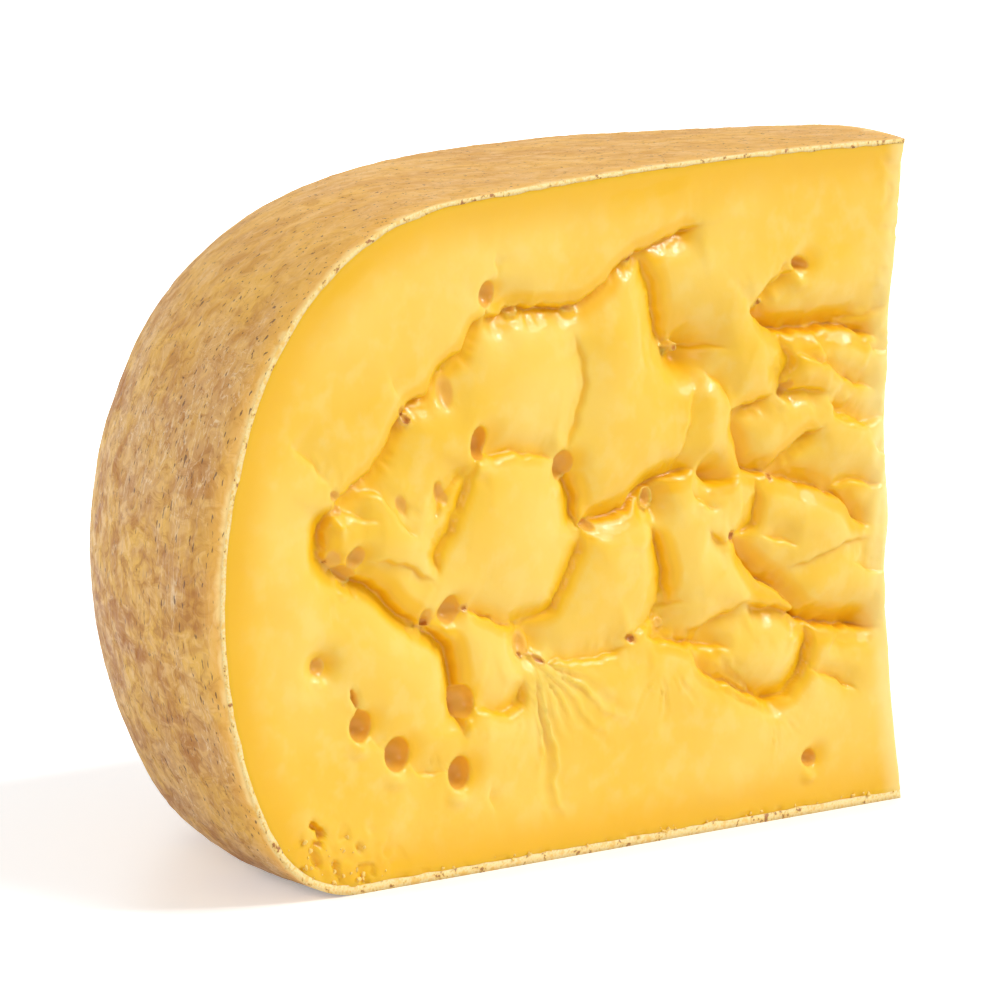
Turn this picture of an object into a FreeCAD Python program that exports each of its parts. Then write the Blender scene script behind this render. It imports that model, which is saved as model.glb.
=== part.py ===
# A cut piece of Gruyere-type cheese: a wedge from a small wheel, a little over a third of it,
# with the rounded rim and flat underside of the wheel, one straight cut face that shows the
# eyes, seams and pressed plates of the paste, and a second cut face that has sunk in a little.
#
# Frame: millimetres, +Z up.  The piece stands on the wheel's flat underside.  The origin is on
# the table, under the middle of the piece's bounding box.  The cut face with the eyes looks
# along -Y, the nose (the edge where both cuts meet) is at the right of it, the rim at the left.
import FreeCAD, Part
import Sketcher
import math
import os

App = FreeCAD
Vector = App.Vector

DOC = App.newDocument("CheesePiece")
NODE = "cheese_piece"
TUBE_TOLERANCE = 0.02         # share by which a furrow's volume may differ from section x length

# ---------------------------------------------------------------------------------------------
# Sizes.  The wheel is a turned form: flat underside, a tight lower shoulder, a bulging heel,
# a rounder upper shoulder and a slightly crowned top.
# ---------------------------------------------------------------------------------------------
WHEEL = {
    "wheel_height": 110.0,        # at the wheel's axis
    "wheel_radius": 134.0,        # widest, at the heel
    "lower_shoulder": 22.0,       # radius of the arc that runs off the flat underside
    "upper_shoulder": 49.0,       # radius of the arc that runs on into the crown
    "base_ease": 6.5,             # how much further in than its own radius each shoulder's
    "top_ease": 2.33,             # centre lies from the widest circle
    "widest_share": 0.705,        # of the way up from the lower shoulder's centre to the upper's
    "crown_round": 1090.0,
}

# The two cuts.  Both pass beside the wheel's axis and meet in the nose.
CUTS = {
    "cut_offset": 22.5,           # front cut, from the axis
    "nose_offset": 19.5,          # nose, along the front cut from the foot of the axis
    "wedge_angle": 126.0,
    "sunk_depth": 3.7,            # how far the middle of the second cut has sunk in
    "rough_room": 2.0,            # what the rough cut leaves before the front cut, for the plates
}

# What follows from the sizes above.  The heel is two arcs that meet, upright, at the widest
# circle, and each takes the radius at which it runs into its shoulder.
DERIVED = {
    "base_radius": "wheel_radius - lower_shoulder - base_ease",
    "top_radius": "wheel_radius - upper_shoulder - top_ease",
    "top_centre": "wheel_height - crown_round"
                  " + sqrt((crown_round - upper_shoulder)^2 - top_radius^2)",
    "widest_height": "lower_shoulder + widest_share * (top_centre - lower_shoulder)",
    "heel_low": "((lower_shoulder + base_ease)^2 + (widest_height - lower_shoulder)^2"
                " - lower_shoulder^2) / (2 * base_ease)",
    "heel_high": "((upper_shoulder + top_ease)^2 + (top_centre - widest_height)^2"
                 " - upper_shoulder^2) / (2 * top_ease)",
    "sunk_round": "(wheel_height^2 / 4 + sunk_depth^2) / (2 * sunk_depth)",
    "rough_offset": "cut_offset - rough_room",
}

# The pressed plates of the paste are low cushions on the front cut, with furrows for the seams
# between them.
RELIEF = {
    "furrow_sink": 0.35,          # a furrow's centre line, below the cut, as a share of its radius
    "furrow_clear": 0.4,          # its ends stand this far out of the cheese, so it shoals out
    "corner_share": 0.45,         # of the shorter run that a corner's arc takes up
    "eye_overhang": 0.55,         # an eye's centre lies this share of its radius below the cut
    "eye_foot_angle": 74.0,       # below this latitude an eye's floor is flat, degrees
}

# Plates: distance from the nose, height above the table, radius, rise in the middle.
PLATES = {
    "low_left": (116.5, 35.5, 13.5, 0.75),
    "low_left_tail": (110.5, 18.5, 10.0, 0.45),
    "broad_left": (90.5, 52.5, 13.5, 0.8),
    "upper_left": (88.0, 76.5, 12.5, 0.6),
    "small_left": (113.5, 57.0, 8.0, 0.55),
    "shoulder_left": (106.5, 70.0, 8.5, 0.45),
    "under_crater": (95.0, 31.0, 7.5, 0.4),
    "tall_top": (65.0, 81.0, 12.5, 0.7),
    "tall_middle": (62.5, 66.5, 11.5, 0.75),
    "beside_tall": (46.0, 67.5, 7.5, 0.6),
    "upper_right": (38.0, 79.5, 8.0, 0.55),
    "top_right": (21.0, 91.0, 9.0, 0.4),
    "right_top": (17.0, 73.0, 8.0, 0.5),
    "right_middle": (27.0, 63.0, 7.5, 0.55),
    "middle": (64.0, 43.5, 11.5, 0.75),
    "middle_right": (44.5, 41.5, 9.0, 0.6),
    "right_broad": (21.5, 45.0, 11.0, 0.7),
    "tongue": (35.0, 28.5, 9.0, 0.75),
    "foot": (66.0, 21.0, 12.0, 0.45),
}

# Eyes: distance from the nose, height above the table, radius.  The last of them are the small
# ones that lie in groups.
EYES = {
    "low_first": (122.3, 26.3, 2.5),
    "low_second": (114.5, 21.0, 2.8),
    "low_third": (101.2, 16.5, 2.7),
    "low_fourth": (100.2, 26.5, 2.7),
    "soft_left": (130.5, 36.5, 2.5),
    "tall_eye": (96.8, 68.0, 2.6),
    "middle_eye": (77.8, 62.8, 2.6),
    "pair_big": (102.8, 42.5, 2.7),
    "pair_small": (107.8, 40.8, 1.4),
    "left_round": (122.8, 53.4, 1.8),
    "left_high": (126.8, 61.0, 1.9),
    "upper_small": (112.4, 74.0, 1.8),
    "seam_corner": (94.5, 91.0, 2.5),
    "crater": (84.5, 34.5, 3.9),
    "dimple": (49.5, 78.5, 3.6),
    "slanted": (24.5, 90.9, 1.9),
    "wedge_eye": (27.5, 70.6, 1.8),
    "pocket": (44.5, 58.0, 2.6),
    "deep_cavity": (56.5, 54.5, 3.6),
    "soft_pocket": (54.3, 36.0, 2.4),
    "lone": (21.5, 9.3, 1.9),
    "heel_first": (132.9, 12.2, 1.0),
    "heel_second": (130.2, 9.6, 1.2),
}

# Furrows: radius of the tube that cuts them, then the points of the seam's run: distance from
# the nose, height above the table.
FURROWS = {
    "upper_seam": (1.25, [(129.0, 59.0), (119.0, 65.5), (112.8, 74.0), (103.8, 81.5),
                          (95.5, 88.0), (85.5, 88.0), (75.5, 87.5), (63.0, 94.5),
                          (47.0, 99.0)]),
    "left_seam": (1.05, [(129.0, 62.0), (128.6, 54.0), (124.0, 49.5), (115.5, 45.5),
                         (107.5, 40.0), (102.0, 35.5), (100.4, 25.0)]),
    "middle_seam": (1.15, [(78.5, 66.0), (75.5, 59.0), (73.0, 52.5), (74.5, 47.0),
                           (79.5, 40.5), (88.0, 37.0)]),
    "cross_seam": (1.05, [(76.5, 52.0), (68.0, 53.8), (57.5, 58.0), (47.0, 59.5)]),
    "left_lip": (0.9, [(99.5, 66.5), (90.0, 66.0), (77.0, 64.0)]),
    "left_run": (0.8, [(97.5, 69.0), (101.0, 59.0), (105.5, 52.0), (105.8, 44.0)]),
    "valley": (1.2, [(62.0, 97.5), (56.5, 89.0), (51.5, 79.0), (43.0, 78.5)]),
    "right_seam": (1.25, [(39.0, 86.0), (33.0, 81.8), (27.0, 80.0), (14.0, 79.6),
                          (4.5, 77.0)]),
    "fork": (1.15, [(46.5, 76.0), (40.5, 68.5), (36.5, 59.5), (28.0, 56.3), (15.0, 52.0),
                    (7.0, 46.5)]),
    "side_seam": (1.3, [(42.5, 50.0), (31.5, 39.3), (22.5, 32.4), (13.0, 30.2),
                        (4.0, 28.5)]),
    "foot_seam": (0.95, [(23.5, 34.5), (21.6, 27.0), (29.0, 19.6), (41.0, 24.0),
                         (50.5, 31.0)]),
}

# ---------------------------------------------------------------------------------------------
# The sheet of sizes
# ---------------------------------------------------------------------------------------------
SHEET = DOC.addObject("Spreadsheet::Sheet", "Sizes")


def fill_sheet(sheet, groups):
    """One row for each size: its name in column A, its value or formula in column B."""
    row = 0
    for group in groups:
        for name, value in group.items():
            row += 1
            sheet.set("A%d" % row, name)
            sheet.set("B%d" % row, "=" + value if isinstance(value, str) else repr(value))
            sheet.setAlias("B%d" % row, name)


def spots(kind, columns, table):
    """The sizes of a table of round features, as one dictionary of named cells."""
    return {"%s_%s_%s" % (kind, name, column): value
            for name, row in table.items() for column, value in zip(columns, row)}


SPOT = ("along", "height", "round")
fill_sheet(SHEET, [WHEEL, CUTS, DERIVED, RELIEF, spots("plate", SPOT + ("rise",), PLATES),
                   spots("eye", SPOT, EYES)])
DOC.recompute()


def size(name):
    """The value of a named cell."""
    return float(SHEET.get(name))


# ---------------------------------------------------------------------------------------------
# The wheel: half of its section, turned about its axis
# ---------------------------------------------------------------------------------------------
def rim_arcs():
    """Centre, radius, first and last angle of the five arcs of the half section.

    Each arc starts where the one before ends, in the same direction.  Two arcs that run into
    each other touch on the line through both centres, which gives the angle they share.
    """
    low = (size("base_radius"), size("lower_shoulder"))
    heel_low = (size("wheel_radius") - size("heel_low"), size("widest_height"))
    heel_high = (size("wheel_radius") - size("heel_high"), size("widest_height"))
    high = (size("top_radius"), size("top_centre"))
    crown = (0.0, size("wheel_height") - size("crown_round"))
    quarter = math.pi / 2.0
    low_end = math.atan2(low[1] - heel_low[1], low[0] - heel_low[0])
    heel_end = math.atan2(high[1] - heel_high[1], high[0] - heel_high[0])
    high_end = math.atan2(high[1] - crown[1], high[0] - crown[0])
    return [
        (low, size("lower_shoulder"), -quarter, low_end),
        (heel_low, size("heel_low"), low_end, 0.0),
        (heel_high, size("heel_high"), 0.0, heel_end),
        (high, size("upper_shoulder"), heel_end, high_end),
        (crown, size("crown_round"), high_end, quarter),
    ]


def origin_plane(body, role):
    """One of the body's own origin planes."""
    return [item for item in body.Origin.OriginFeatures if item.Role == role][0]


def new_sketch(body, name, role):
    """A sketch attached to one of the body's origin planes."""
    sketch = body.newObject("Sketcher::SketchObject", name)
    sketch.AttachmentSupport = [(origin_plane(body, role), "")]
    sketch.MapMode = "FlatFace"
    return sketch


def bound(sketch, cell, *constraint):
    """Adds a constraint with a size and binds it to a cell of the sheet."""
    number = sketch.addConstraint(Sketcher.Constraint(*constraint, size(cell)))
    sketch.setExpression("Constraints[%d]" % number, "Sizes.%s" % cell)


def half_section(body):
    """The wheel's half section: underside, five tangent arcs and the axis."""
    sketch = new_sketch(body, "HalfSection", "XZ_Plane")
    top = size("wheel_height")
    sketch.addGeometry(Part.LineSegment(Vector(0, 0, 0), Vector(size("base_radius"), 0, 0)))
    for (centre, radius, first, last) in rim_arcs():
        circle = Part.Circle(Vector(centre[0], centre[1], 0), Vector(0, 0, 1), radius)
        sketch.addGeometry(Part.ArcOfCircle(circle, first, last))
    sketch.addGeometry(Part.LineSegment(Vector(0, top, 0), Vector(0, 0, 0)))
    underside, low, heel_low, heel_high, high, crown, axis = range(7)
    start, end, centre = 1, 2, 3
    origin, upright = -1, -2
    sketch.addConstraint(Sketcher.Constraint("Coincident", underside, start, origin, start))
    sketch.addConstraint(Sketcher.Constraint("Horizontal", underside))
    chain = (underside, low, heel_low, heel_high, high, crown)
    for before, after in zip(chain, chain[1:]):
        sketch.addConstraint(Sketcher.Constraint("Tangent", before, end, after, start))
    sketch.addConstraint(Sketcher.Constraint("Coincident", crown, end, axis, start))
    sketch.addConstraint(Sketcher.Constraint("Coincident", axis, end, origin, start))
    sketch.addConstraint(Sketcher.Constraint("Vertical", axis))
    sketch.addConstraint(Sketcher.Constraint("PointOnObject", crown, centre, upright))
    bound(sketch, "base_radius", "DistanceX", underside, start, underside, end)
    bound(sketch, "wheel_height", "DistanceY", axis, end, axis, start)
    bound(sketch, "lower_shoulder", "Radius", low)
    bound(sketch, "heel_low", "Radius", heel_low)
    bound(sketch, "heel_high", "Radius", heel_high)
    bound(sketch, "upper_shoulder", "Radius", high)
    bound(sketch, "crown_round", "Radius", crown)
    bound(sketch, "widest_height", "DistanceY", origin, start, heel_low, end)
    return sketch


def wheel(body):
    """Turns the half section about the wheel's axis."""
    sketch = half_section(body)
    turned = body.newObject("PartDesign::Revolution", "Wheel")
    turned.Profile = sketch
    turned.ReferenceAxis = (sketch, ["V_Axis"])
    turned.Angle = 360.0
    sketch.Visibility = False
    return turned


# ---------------------------------------------------------------------------------------------
# The cuts
# ---------------------------------------------------------------------------------------------
def rough_cut(body):
    """Takes off the far part of the wheel, short of the front cut."""
    sketch = new_sketch(body, "RoughCutOutline", "XY_Plane")
    reach = 2.0 * size("wheel_radius")
    near = size("rough_offset")
    corners = [(-reach, -reach), (reach, -reach), (reach, near), (-reach, near)]
    for first, second in zip(corners, corners[1:] + corners[:1]):
        sketch.addGeometry(Part.LineSegment(Vector(*first, 0), Vector(*second, 0)))
    for side in range(4):
        sketch.addConstraint(Sketcher.Constraint("Coincident", side, 2, (side + 1) % 4, 1))
    for side, direction in enumerate(("Horizontal", "Vertical", "Horizontal", "Vertical")):
        sketch.addConstraint(Sketcher.Constraint(direction, side))
    far_side, cut_side = 0, 2
    bound(sketch, "rough_offset", "DistanceY", -1, 1, cut_side, 1)
    for constraint in (("DistanceX", far_side, 1, -1, 1), ("DistanceX", -1, 1, far_side, 2),
                       ("DistanceY", far_side, 1, -1, 1)):
        number = sketch.addConstraint(Sketcher.Constraint(*constraint, reach))
        sketch.setExpression("Constraints[%d]" % number, "2 * Sizes.wheel_radius")
    return pocket(body, sketch, "RoughCut")


def second_cut(body):
    """The second cut, upright through the nose.  Its face has sunk in between the rinds, so the
    section of what is taken off has an arc for the side that faces the cheese."""
    sketch = new_sketch(body, "SecondCutSection", "XZ_Plane")
    sketch.AttachmentOffset = App.Placement(
        Vector(size("nose_offset"), 0, -size("cut_offset")),
        App.Rotation(Vector(0, 1, 0), 90.0 - size("wedge_angle")))
    sketch.setExpression(".AttachmentOffset.Base.x", "Sizes.nose_offset")
    sketch.setExpression(".AttachmentOffset.Base.z", "-Sizes.cut_offset")
    sketch.setExpression(".AttachmentOffset.Rotation.Angle",
                         "(90 - Sizes.wedge_angle) * 1 deg")
    reach = 2.0 * size("wheel_radius")
    top = size("wheel_height")
    arc_round = size("sunk_round")
    half_turn = math.asin(top / 2.0 / arc_round)
    centre = Vector(arc_round - size("sunk_depth"), top / 2.0, 0)
    circle = Part.Circle(centre, Vector(0, 0, 1), arc_round)
    sketch.addGeometry(Part.ArcOfCircle(circle, math.pi - half_turn, math.pi + half_turn))
    sketch.addGeometry(Part.LineSegment(Vector(0, top, 0), Vector(reach, top, 0)))
    sketch.addGeometry(Part.LineSegment(Vector(reach, top, 0), Vector(reach, 0, 0)))
    sketch.addGeometry(Part.LineSegment(Vector(reach, 0, 0), Vector(0, 0, 0)))
    sunk_arc, top_side, far_side, low_side = range(4)
    high_end, low_end = 1, 2
    sketch.addConstraint(Sketcher.Constraint("Coincident", sunk_arc, high_end, top_side, 1))
    sketch.addConstraint(Sketcher.Constraint("Coincident", top_side, 2, far_side, 1))
    sketch.addConstraint(Sketcher.Constraint("Coincident", far_side, 2, low_side, 1))
    sketch.addConstraint(Sketcher.Constraint("Coincident", low_side, 2, sunk_arc, low_end))
    sketch.addConstraint(Sketcher.Constraint("Coincident", low_side, 2, -1, 1))
    sketch.addConstraint(Sketcher.Constraint("Horizontal", top_side))
    sketch.addConstraint(Sketcher.Constraint("Vertical", far_side))
    sketch.addConstraint(Sketcher.Constraint("Horizontal", low_side))
    sketch.addConstraint(Sketcher.Constraint("PointOnObject", top_side, 1, -2))
    bound(sketch, "wheel_height", "DistanceY", far_side, 2, far_side, 1)
    number = sketch.addConstraint(Sketcher.Constraint("DistanceX", low_side, 2, low_side, 1,
                                                      reach))
    sketch.setExpression("Constraints[%d]" % number, "2 * Sizes.wheel_radius")
    bound(sketch, "sunk_round", "Radius", sunk_arc)
    return pocket(body, sketch, "SecondCut")


def pocket(body, sketch, name):
    """A pocket right through, to both sides of its sketch."""
    feature = body.newObject("PartDesign::Pocket", name)
    feature.Profile = sketch
    feature.Type = "ThroughAll"
    feature.Midplane = True
    sketch.Visibility = False
    return feature


def waste():
    """All that the rough cut left before the front cut, as a block wider than the wheel."""
    block = DOC.addObject("Part::Box", "BeforeFrontCut")
    block.setExpression("Length", "4 * Sizes.wheel_radius")
    block.setExpression("Width", "2 * Sizes.wheel_radius")
    block.setExpression("Height", "2 * Sizes.wheel_height")
    block.setExpression(".Placement.Base.x", "-2 * Sizes.wheel_radius")
    block.setExpression(".Placement.Base.y", "Sizes.cut_offset - 2 * Sizes.wheel_radius")
    block.setExpression(".Placement.Base.z", "-Sizes.wheel_height / 2")
    return block


# ---------------------------------------------------------------------------------------------
# The relief of the front cut: plates, furrows and eyes
# ---------------------------------------------------------------------------------------------
NOSE_X = "Sizes.nose_offset - Sizes.%s_along"
OUTWARD = App.Rotation(Vector(1, 0, 0), 90.0)     # turns an item's axis out of the cut


def at_spot(item, kind, depth):
    """Places a round solid at its spot on the cut, `depth` (an expression) below it."""
    item.setExpression(".Placement.Base.x", NOSE_X % kind)
    item.setExpression(".Placement.Base.y", "Sizes.cut_offset + (%s)" % depth)
    item.setExpression(".Placement.Base.z", "Sizes.%s_height" % kind)


def plate(name):
    """A pressed plate: a low cushion, the part of a large ball that stands out of the cut.

    The ball meets the cut at the plate's radius.  The disc that keeps its cap is wider and
    starts below the cut, so its wall and foot are lost inside the cheese.
    """
    kind = "plate_" + name
    title = name.title().replace("_", "")
    spread, rise = "Sizes.%s_round" % kind, "Sizes.%s_rise" % kind
    dome = "((%s^2 + %s^2) / (2 * %s))" % (spread, rise, rise)
    ball = DOC.addObject("Part::Sphere", "Dome" + title)
    ball.setExpression("Radius", dome)
    at_spot(ball, kind, "%s - %s" % (dome, rise))
    disc = DOC.addObject("Part::Cylinder", "Stem" + title)
    disc.Placement = App.Placement(Vector(), OUTWARD)
    disc.setExpression("Radius", "1.1 * %s" % spread)
    disc.setExpression("Height", "3 * %s" % rise)
    at_spot(disc, kind, rise)
    cap = DOC.addObject("Part::Common", "Plate" + title)
    cap.Base = ball
    cap.Tool = disc
    return cap


def eye(name):
    """An eye: the round hole that a bubble of gas leaves, opened by the cut off its middle.

    Its axis stands out of the cut, and its floor is flat below the foot angle.
    """
    kind = "eye_" + name
    item = DOC.addObject("Part::Sphere", "Eye" + name.title().replace("_", ""))
    item.Placement = App.Placement(Vector(), OUTWARD)
    item.setExpression("Radius", "Sizes.%s_round" % kind)
    item.setExpression("Angle1", "-Sizes.eye_foot_angle")
    at_spot(item, kind, "Sizes.eye_overhang * Sizes.%s_round" % kind)
    return item


def rounded_path(points, share):
    """A wire of straight runs joined by tangent arcs.  At each corner the arc takes up the same
    length of both runs, a share of the shorter one."""
    edges = []
    last = points[0]
    for before, corner, after in zip(points, points[1:], points[2:]):
        back, ahead = before - corner, after - corner
        length = share * min(back.Length, ahead.Length)
        back.normalize()
        ahead.normalize()
        start, end = corner + back * length, corner + ahead * length
        half = (math.pi - back.getAngle(ahead)) / 2.0
        inward = (back + ahead).normalize()
        middle = corner + inward * (length * (1.0 - math.cos(half)) / math.sin(half))
        edges.append(Part.LineSegment(last, start).toShape())
        edges.append(Part.Arc(start, middle, end).toShape())
        last = end
    edges.append(Part.LineSegment(last, points[-1]).toShape())
    return Part.Wire(edges)


def furrow(name, radius, points):
    """A round-bottomed furrow along a seam: a tube that comes out of the cut at both ends."""
    deep = size("cut_offset") + size("furrow_sink") * radius
    out = size("cut_offset") - size("furrow_clear") - radius
    depths = [out] + [deep] * (len(points) - 2) + [out]
    line = [Vector(size("nose_offset") - along, depth, height)
            for (along, height), depth in zip(points, depths)]
    path = rounded_path(line, size("corner_share"))
    section = Part.Wire(Part.Circle(line[0], line[1] - line[0], radius).toShape())
    tube = path.makePipeShell([section], True, False)
    expected = math.pi * radius ** 2 * path.Length
    if not tube.isValid() or abs(tube.Volume / expected - 1.0) > TUBE_TOLERANCE:
        raise RuntimeError("furrow %s came out wrong" % name)
    item = DOC.addObject("Part::Feature", "Furrow" + name.title().replace("_", ""))
    item.Shape = tube
    return item


def joined(name, items):
    """One solid out of many."""
    fused = DOC.addObject("Part::MultiFuse", name)
    fused.Shapes = items
    return fused


def cut_away(name, base, tool):
    """What is left of the base without the tool."""
    cut = DOC.addObject("Part::Cut", name)
    cut.Base = base
    cut.Tool = tool
    return cut


def front_cut(body):
    """Makes the front cut: the plates are taken out of the waste, so the knife leaves them on
    the cheese, and none can stand past its rim.  Then it draws the furrows and opens the eyes."""
    plates = joined("Plates", [plate(name) for name in PLATES])
    face = cut_away("FrontFace", body, cut_away("Waste", waste(), plates))
    furrows = [furrow(name, radius, points) for name, (radius, points) in FURROWS.items()]
    eyes = [eye(name) for name in EYES]
    return cut_away("CheesePiece", face, joined("EyesAndFurrows", furrows + eyes))


# ---------------------------------------------------------------------------------------------
# Building, checking and writing
# ---------------------------------------------------------------------------------------------
def check(document):
    """Stops if any object failed or has no sound shape."""
    for item in document.Objects:
        if "Invalid" in item.State or "Error" in item.State:
            raise RuntimeError("%s failed: %s" % (item.Name, item.State))
        if hasattr(item, "Shape") and item.TypeId.startswith("Part") and item.Shape.isNull():
            raise RuntimeError("%s has no shape" % item.Name)


def main():
    body = DOC.addObject("PartDesign::Body", "CutWheel")
    turned = wheel(body)
    DOC.recompute()
    for make_cut in (rough_cut, second_cut):
        body.Tip = make_cut(body)
        DOC.recompute()
    piece = front_cut(body)
    piece.Label = NODE
    DOC.recompute()
    check(DOC)

    # The origin goes under the middle of the bounding box.
    box = piece.Shape.optimalBoundingBox(False)
    piece.Placement = App.Placement(
        Vector(-(box.XMin + box.XMax) / 2.0, -(box.YMin + box.YMax) / 2.0, -box.ZMin),
        App.Rotation())
    DOC.recompute()
    check(DOC)
    shape = piece.Shape
    if not shape.isValid() or len(shape.Solids) != 1:
        raise RuntimeError("the piece is not one sound solid")

    os.makedirs("parts", exist_ok=True)
    shape.exportStep(os.path.join("parts", piece.Label + ".step"))
    box = shape.optimalBoundingBox(False)
    volumes = [turned.Shape.Volume, body.Shape.Volume, shape.Volume]
    if not volumes[0] > volumes[1] > volumes[2]:
        raise RuntimeError("a cut took nothing off")
    print("wheel, then after each cut, cm3: "
          + ", ".join("%.0f" % (volume / 1000.0) for volume in volumes))
    print("%s: %d solid, volume %.1f cm3, box %.2f x %.2f x %.2f mm, low at %.3f" % (
        piece.Label, len(shape.Solids), shape.Volume / 1000.0, box.XLength, box.YLength,
        box.ZLength, box.ZMin))
    nose = Vector(size("nose_offset"), size("cut_offset"), 0) + piece.Placement.Base
    print("nose at x %.3f, y %.3f; wheel axis at x %.3f, y %.3f" % (
        nose.x, nose.y, piece.Placement.Base.x, piece.Placement.Base.y))


main()
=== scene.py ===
# %% [markdown]
# # A cut piece of gruyere
#
# A gruyere is a turned form: the curd is pressed in a round hoop, so the wheel has a flat
# underside, a heel that bulges and a slightly crowned top. This piece is a little over a third of
# a small wheel. It shows three surfaces: the washed rind outside, and two cut faces of the paste,
# of which the front one carries the eyes, the seams and the pressed plates between them.
#
# This lesson builds the piece round a fixed frame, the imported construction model. Everything is
# worked out in millimetres, as a cheesemaker would measure it, and turned to metres at the end.

# %% The frame
import math

import bmesh
import bpy
import numpy as np
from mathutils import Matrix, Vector, noise


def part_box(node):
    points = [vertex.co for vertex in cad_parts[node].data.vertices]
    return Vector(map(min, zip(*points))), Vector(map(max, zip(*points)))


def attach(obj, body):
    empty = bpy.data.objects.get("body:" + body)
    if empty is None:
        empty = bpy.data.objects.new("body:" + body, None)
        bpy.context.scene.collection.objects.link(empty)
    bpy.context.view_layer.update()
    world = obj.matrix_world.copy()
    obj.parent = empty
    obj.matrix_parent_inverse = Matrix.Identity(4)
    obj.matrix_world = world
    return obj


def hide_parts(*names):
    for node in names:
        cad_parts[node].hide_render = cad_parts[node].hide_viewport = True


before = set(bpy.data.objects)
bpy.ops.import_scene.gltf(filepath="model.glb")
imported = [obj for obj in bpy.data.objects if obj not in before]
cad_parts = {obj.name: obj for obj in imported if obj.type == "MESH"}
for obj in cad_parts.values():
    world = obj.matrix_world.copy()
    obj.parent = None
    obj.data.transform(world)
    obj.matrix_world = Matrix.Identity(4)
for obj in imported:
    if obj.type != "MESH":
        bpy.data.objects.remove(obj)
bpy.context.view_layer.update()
NODE = "cheese_piece"
MM = 0.001
LOW, HIGH = (np.array(corner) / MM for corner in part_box(NODE))
print("piece, mm:", np.round(HIGH - LOW, 1))

# %% [markdown]
# ## The wheel and the two cuts
#
# The sizes below are those of the wheel and of the cuts, and everything else hangs on them. The
# wheel's axis isn't in the piece: it stands a little in front of the front cut. Its place follows
# from the box of the piece, which touches the heel at the left and at the back.

# %% Sizes of the wheel and the cuts
WHEEL_HEIGHT = 110.0
WHEEL_RADIUS = 134.0
LOWER_SHOULDER = 22.0
UPPER_SHOULDER = 49.0
BASE_EASE = 6.5
TOP_EASE = 2.33
WIDEST_SHARE = 0.705
CROWN_ROUND = 1090.0
CUT_OFFSET = 22.5
NOSE_OFFSET = 19.5
WEDGE = math.radians(126.0)
SUNK_DEPTH = 3.7

AXIS = np.array([LOW[0] + math.sqrt(WHEEL_RADIUS ** 2 - CUT_OFFSET ** 2),
                 HIGH[1] - WHEEL_RADIUS])
NOSE = AXIS + np.array([NOSE_OFFSET, CUT_OFFSET])
print("wheel axis at", np.round(AXIS, 2), "nose at", np.round(NOSE, 2))

# %% [markdown]
# ## Reading the wheel's section
#
# The half section is a flat, four arcs that run into each other, and the crown. The two arcs of
# the heel meet, upright, at the widest circle, and each takes the radius at which it runs into
# its shoulder. The function gives points on the rim with the outward direction there, so that a
# skin of any thickness can be laid under it by stepping back along that direction.

# %% The half section
BASE_RADIUS = WHEEL_RADIUS - LOWER_SHOULDER - BASE_EASE


def rim_arcs():
    """Centre, radius, first and last angle of the four arcs from the flat to the crown."""
    low = np.array([BASE_RADIUS, LOWER_SHOULDER])
    top_radius = WHEEL_RADIUS - UPPER_SHOULDER - TOP_EASE
    crown = np.array([0.0, WHEEL_HEIGHT - CROWN_ROUND])
    high = crown + np.array([top_radius, math.sqrt(
        (CROWN_ROUND - UPPER_SHOULDER) ** 2 - top_radius ** 2)])
    widest = low[1] + WIDEST_SHARE * (high[1] - low[1])

    def heel(shoulder, ease, gap):
        radius = ((shoulder + ease) ** 2 + gap ** 2 - shoulder ** 2) / (2.0 * ease)
        return np.array([WHEEL_RADIUS - radius, widest]), radius

    heel_low, low_round = heel(LOWER_SHOULDER, BASE_EASE, widest - low[1])
    heel_high, high_round = heel(UPPER_SHOULDER, TOP_EASE, high[1] - widest)
    low_end = math.atan2(*(low - heel_low)[::-1])
    heel_end = math.atan2(*(high - heel_high)[::-1])
    high_end = math.atan2(*(high - crown)[::-1])
    return [(low, LOWER_SHOULDER, -math.pi / 2.0, low_end),
            (heel_low, low_round, low_end, 0.0),
            (heel_high, high_round, 0.0, heel_end),
            (high, UPPER_SHOULDER, heel_end, high_end)]


ARCS = rim_arcs()
ARC_LENGTHS = np.array([radius * (last - first) for _, radius, first, last in ARCS])
RIM_LENGTH = ARC_LENGTHS.sum()


def rim_point(share):
    """Points (radius, height) and outward directions on the rim; share runs from 0 to 1."""
    share = np.atleast_1d(share)
    along = np.clip(share, 0.0, 1.0) * RIM_LENGTH
    starts = np.concatenate([[0.0], np.cumsum(ARC_LENGTHS)])
    which = np.clip(np.searchsorted(starts, along, side="right") - 1, 0, len(ARCS) - 1)
    centre = np.array([arc[0] for arc in ARCS])[which]
    radius = np.array([arc[1] for arc in ARCS])[which]
    angle = np.array([arc[2] for arc in ARCS])[which] + (along - starts[which]) / radius
    outward = np.stack([np.cos(angle), np.sin(angle)], axis=-1)
    return centre + radius[:, None] * outward, outward


def crown_height(radius):
    """Height of the crowned top at a distance from the axis."""
    return WHEEL_HEIGHT - CROWN_ROUND + np.sqrt(CROWN_ROUND ** 2 - radius ** 2)


print("rim from flat to crown, mm: %.1f" % RIM_LENGTH)

# %% [markdown]
# ## Sections through the nose
#
# Both cut faces and all that lies between them can be swept: upright sections fan out from the
# nose, from the front cut to the second cut. The second cut has sunk in, so the nose is a shallow
# arc and not a straight edge. Each section runs along the underside, up the rim and back along
# the top. Its points keep the same share of each of these three stretches in every section.

# %% The nose and the fan of sections
SUNK_ROUND = (WHEEL_HEIGHT ** 2 / 4 + SUNK_DEPTH ** 2) / (2 * SUNK_DEPTH)
NOSE_TOP = WHEEL_HEIGHT - 0.5
SECOND_DIRECTION = np.array([-math.cos(WEDGE), math.sin(WEDGE)])


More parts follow.
